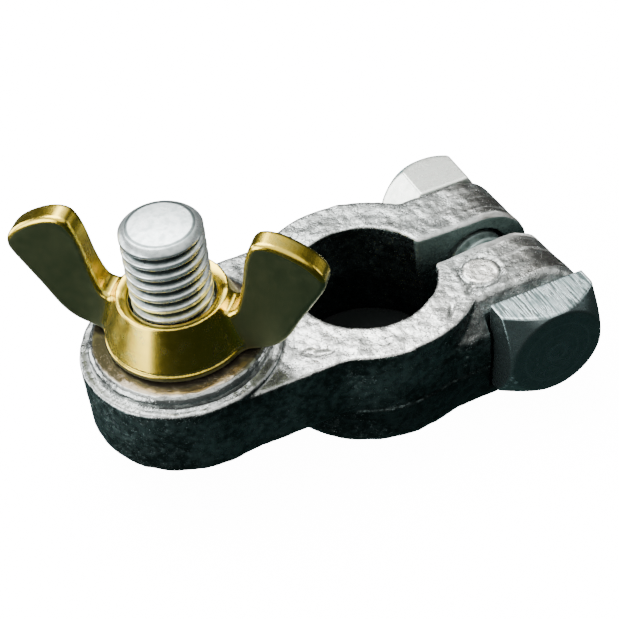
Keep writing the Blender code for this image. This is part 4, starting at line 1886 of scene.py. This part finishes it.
@dataclass
class WingNut:
    """The brass wing nut: a cone on a short rim, and two flat wings that flow into it."""

    bench: Bench
    x: float = -0.0236
    seat_z: float = 0.0025
    heading: float = math.radians(-40.5)
    base_radius: float = 0.0084
    top_radius: float = 0.0063
    rim_height: float = 0.0009
    height: float = 0.0062
    mouth_radius: float = 0.0061
    mouth_depth: float = 0.0006
    hole_radius: float = 0.00488
    thickness: float = 0.0029
    edge: float = 0.0006
    flare: float = 0.0010
    fillet: float = 0.0008
    swell: float = 0.00018
    groove: float = 0.00035
    mouth_edge: float = 0.0003
    hole_edge: float = 0.0004
    seat_edge: float = 0.0002
    root_start: float = 0.0115
    root_run: float = 0.004
    root_height: float = 0.010
    wing_reach: float = 0.0184
    wing_top: float = 0.0160
    steps_between: int = 4
    grid: float = 0.00015
    wing: tuple[tuple[float, float], ...] = (
        (0.0055, 0.0003),
        (0.0092, 0.0003),
        (0.0115, 0.0008),
        (0.0134, 0.0025),
        (0.0151, 0.0055),
        (0.0166, 0.0080),
        (0.0179, 0.0102),
        (0.0182, 0.0112),
        (0.0179, 0.0124),
        (0.0166, 0.0138),
        (0.0148, 0.0149),
        (0.0130, 0.0156),
        (0.0115, 0.0157),
        (0.0105, 0.0151),
        (0.0097, 0.0130),
        (0.0090, 0.0092),
        (0.0081, 0.0062),
        (0.0069, 0.0054),
        (0.0055, 0.0054),
    )

    def hub(self, reach: np.ndarray, z: np.ndarray) -> np.ndarray:
        """Distances to the turned hub, with the groove above its rim.

        Args:
            reach: Distances from the nut's axis.
            z: Heights above its seat.

        Returns:
            Distances to the hub.
        """
        profile = (
            (0.0, 0.0),
            (self.base_radius, 0.0),
            (self.base_radius, self.rim_height * 0.75),
            (self.base_radius - self.groove, self.rim_height * 0.95),
            (self.base_radius - 0.00005, self.rim_height * 1.2),
            (self.top_radius, self.height),
            (0.0, self.height),
        )
        cone = polygon_distance(reach, z, profile)
        spread = (self.mouth_radius - self.hole_radius) / self.mouth_depth
        hole = self.hole_radius + np.maximum(z - self.height + self.mouth_depth, 0) * spread
        return smooth_max(cone, (hole - reach) / math.hypot(1, spread), self.mouth_edge)

    def wings(self, along: np.ndarray, across: np.ndarray, z: np.ndarray) -> np.ndarray:
        """Distances to both wings, thicker towards their roots.

        Args:
            along: Distances from the nut's axis along the wings.
            across: Distances across them.
            z: Heights above the nut's seat.

        Returns:
            Distances to the wings.
        """
        out = np.abs(along)
        outline = polygon_distance(out, z, smooth_outline(self.wing, self.steps_between)) - self.swell
        root = np.clip((self.root_start - out) / self.root_run, 0, 1)
        low = np.clip(1 - z / self.root_height, 0, 1)
        half = self.thickness / 2 + self.flare * root * root * low
        return rounded_extrusion(outline, np.abs(across) - half, self.edge)

    def distance(self, points: np.ndarray) -> np.ndarray:
        """Distances to the nut, with its wings along X and its seat at Z = 0.

        Args:
            points: An array of shape (n, 3), in metres.

        Returns:
            One distance for each point.
        """
        along, across, z = points.T
        reach = np.hypot(along, across)
        nut = smooth_min(self.hub(reach, z), self.wings(along, across, z), self.fillet)
        nut = smooth_max(nut, self.hole_radius - reach, self.hole_edge)
        return smooth_max(nut, -z, self.seat_edge)

    def build(self, material: bpy.types.Material) -> bpy.types.Object:
        """Makes the wing nut.

        Args:
            material: Its metal.

        Returns:
            The finished object.
        """
        low = (-self.wing_reach - MARGIN, -self.base_radius - MARGIN, -MARGIN)
        high = (self.wing_reach + MARGIN, self.base_radius + MARGIN, self.wing_top + MARGIN)
        points, faces = GridMesher(low, high, self.grid).build(self.distance)
        made = mesh_object("brass_wing_nut", points, faces)
        made.data.transform(Matrix.Rotation(self.heading, 4, "Z"))
        made.data.transform(Matrix.Translation((self.x, 0, self.seat_z)))
        made.data.transform(Matrix.Translation(self.bench.origin))
        dress(made, material)
        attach(made, Body.WINGS.value)
        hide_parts("wing_nut")
        return made


# --- Studio --------------------------------------------------------------------------


@dataclass(frozen=True)
class Lamp:
    """A soft square light that looks at the clamp."""

    name: str
    place: tuple[float, float, float]
    size: float
    power: float

    def build(self) -> None:
        """Adds the light."""
        data = bpy.data.lights.new(self.name, "AREA")
        data.size = self.size
        data.energy = self.power
        made = bpy.data.objects.new(self.name, data)
        made.location = self.place
        made.rotation_euler = (-Vector(self.place)).to_track_quat("-Z", "Y").to_euler()
        made.visible_camera = False
        bpy.context.scene.collection.objects.link(made)


@dataclass
class Studio:
    """The floor, the light and the camera."""

    bench: Bench
    camera_place: tuple[float, float, float] = (-0.05332, -0.11629, 0.11902)
    azimuth: float = math.radians(21.557)
    elevation: float = math.radians(44.103)
    roll: float = math.radians(5.471)
    lens: float = 84.651
    clip: tuple[float, float] = (0.01, 10.0)
    floor_size: float = 6.0
    floor_drop: float = 0.0001
    shade_disc_radius: float = 0.0122
    shade_disc_lift: float = 0.00005
    shade_disc_corners: int = 48
    paint: tuple[float, ...] = rgb(0.93, 0.93, 0.93)
    glow: float = 14.0
    black: tuple[float, ...] = rgb(0.004, 0.006, 0.006)
    sky_top: tuple[float, ...] = rgb(1.6, 1.6, 1.55)
    sky_low: tuple[float, ...] = rgb(0.012, 0.02, 0.019)
    sky_under: tuple[float, ...] = rgb(0.035, 0.075, 0.07)
    lamps: tuple[Lamp, ...] = (
        Lamp("overhead", (-0.05, 0.30, 0.60), 0.5, 8.0),
        Lamp("left card", (-0.56, -0.06, 0.15), 0.42, 4.4),
        Lamp("back left card", (-0.46, 0.42, 0.06), 0.34, 3.0),
        Lamp("right card", (0.52, -0.10, 0.14), 0.16, 0.22),
    )

    def stage_material(self, name: str) -> tuple[bpy.types.Material, bpy.types.Node]:
        """Starts a material that is clear when it is seen from below.

        Args:
            name: The material's name.

        Returns:
            The material and its Principled shader.
        """
        made, wires, shader = new_material(name)
        behind = wires.add("ShaderNodeNewGeometry").outputs["Backfacing"]
        wires.feed(shader.inputs["Alpha"], wires.math("SUBTRACT", 1.0, behind))
        return made, shader

    def floor(self) -> None:
        """A plain pale floor that the metal doesn't mirror, clear when seen from below."""
        half = self.floor_size / 2
        corners = np.array([(-half, -half, 0), (half, -half, 0), (half, half, 0), (-half, half, 0)])
        made = mesh_object("floor", corners - (0, 0, self.floor_drop), np.array([(0, 1, 2, 3)]))
        paint, shader = self.stage_material("Pale floor")
        shader.inputs["Base Color"].default_value = self.paint
        shader.inputs["Roughness"].default_value = 0.9
        shader.inputs["Specular IOR Level"].default_value = 0.1
        shader.inputs["Emission Color"].default_value = rgb(1.0, 1.0, 1.0)
        shader.inputs["Emission Strength"].default_value = self.glow
        made.data.materials.append(paint)
        made.visible_glossy = False
        made.visible_diffuse = False

    def bore_shade_disc(self) -> None:
        """A rough black disc under the ring: painted shade that keeps the bore dark."""
        turns = np.linspace(0, math.tau, self.shade_disc_corners, endpoint=False)
        rim = np.stack([np.cos(turns), np.sin(turns), np.zeros(self.shade_disc_corners)], axis=1) * self.shade_disc_radius
        middle = Vector((self.bench.origin.x, self.bench.origin.y, self.shade_disc_lift))
        made = mesh_object("bore_shade_disc", rim + np.array(middle), np.arange(self.shade_disc_corners)[None, :])
        shade_cloth, shader = self.stage_material("Black shade disc")
        shader.inputs["Base Color"].default_value = self.black
        shader.inputs["Roughness"].default_value = 1.0
        made.data.materials.append(shade_cloth)

    def sky(self) -> None:
        """Soft light from overhead that fades to dark, and a bright backdrop for the camera alone."""
        world = bpy.data.worlds.new("Studio")
        bpy.context.scene.world = world
        world.use_nodes = True
        wires = Wiring(world.node_tree)
        background = world.node_tree.nodes["Background"]
        way = wires.add("ShaderNodeTexCoord").outputs["Generated"]
        up = wires.part(way, "Z")
        low = wires.blend(wires.step(up, -0.9, 0.1), self.sky_under, self.sky_low)
        light = wires.blend(wires.step(up, 0.54, 0.80), low, self.sky_top)
        seen = wires.add("ShaderNodeLightPath").outputs["Is Camera Ray"]
        backdrop = rgb(self.glow, self.glow, self.glow)
        wires.feed(background.inputs["Color"], wires.blend(seen, light, backdrop))
        background.inputs["Strength"].default_value = 1.0

    def camera(self) -> None:
        """Places the camera."""
        back = Vector(
            (
                -math.sin(self.azimuth) * math.cos(self.elevation),
                -math.cos(self.azimuth) * math.cos(self.elevation),
                math.sin(self.elevation),
            )
        )
        level = Vector((math.cos(self.azimuth), -math.sin(self.azimuth), 0))
        rise = back.cross(level)
        right = level * math.cos(self.roll) - rise * math.sin(self.roll)
        up = level * math.sin(self.roll) + rise * math.cos(self.roll)
        data = bpy.data.cameras.new("camera")
        data.lens = self.lens
        data.clip_start, data.clip_end = self.clip
        made = bpy.data.objects.new("camera", data)
        turn = Matrix((right, up, back)).transposed().to_4x4()
        made.matrix_world = Matrix.Translation(self.bench.origin + Vector(self.camera_place)) @ turn
        bpy.context.scene.collection.objects.link(made)
        bpy.context.scene.camera = made

    def build(self) -> None:
        """Sets up the whole studio."""
        self.floor()
        # Painted shade: a black disc under the bore.
        self.bore_shade_disc()
        self.sky()
        for lamp in self.lamps:
            lamp.build()
        self.camera()


def main() -> None:
    """Builds every piece in order, and reports each."""
    logging.basicConfig(level=logging.INFO, format="%(name)s: %(message)s")
    bench = Bench()
    groups = GroupMaker()
    threads = ThreadNodes()
    for made in Casting(bench).build(CastLead(groups, bench).build()):
        report(made)
    plate = ZincPlate(
        groups,
        "Zinc plate",
        pale=rgb(0.97, 1.0, 0.93),
        cloud=rgb(0.80, 0.86, 0.79),
        # Painted reflection: a pale teal on the nut's crown.
        crown=rgb(0.30, 0.50, 0.50),
        metallic=0.7,
    ).build()
    stud = TerminalStud(bench, threads)
    frosted = ZincPlate(
        groups,
        "Zinc plate, frosted",
        pale=rgb(0.84, 0.91, 0.91),
        cloud=rgb(0.55, 0.63, 0.63),
        metallic=0.8,
        grain_size=0.0007,
        roughness=0.30,
        thread_axis=(bench.origin.x - bench.bore_to_stud, bench.origin.y),
        crest=stud.radius,
        face=stud.end_face,
        thread_top=bench.origin.z + stud.top_z,
    ).build()
    bolt = PinchBolt(bench, threads)
    brushed = ZincPlate(
        groups,
        "Zinc plate, shaded sides",
        pale=rgb(0.64, 0.75, 0.77),
        cloud=rgb(0.34, 0.43, 0.44),
        dull=rgb(0.095, 0.145, 0.142),
        turned_axis=(bench.origin.x + bolt.x, bench.origin.z + bolt.z),
        # Painted shade on the bolt head's faces that don't look up.
        side_shade_share=0.9,
        brushed=0.85,
    ).build()
    report(stud.build(frosted))
    # Painted shade: the shank's plate is dark where it runs through the ears and across the slit.
    shaded_plate = ZincPlate(
        groups,
        "Zinc plate, shaded shank",
        pale=rgb(0.26, 0.33, 0.32),
        cloud=rgb(0.14, 0.19, 0.18),
        metallic=0.6,
        roughness=0.5,
    ).build()
    for made in bolt.build(brushed, shaded_plate):
        report(made)
    report(PinchNut(bench).build(plate))
    report(WingNut(bench).build(Brass(groups).build()))
    Studio(bench).build()


if __name__ == "__main__":
    main()
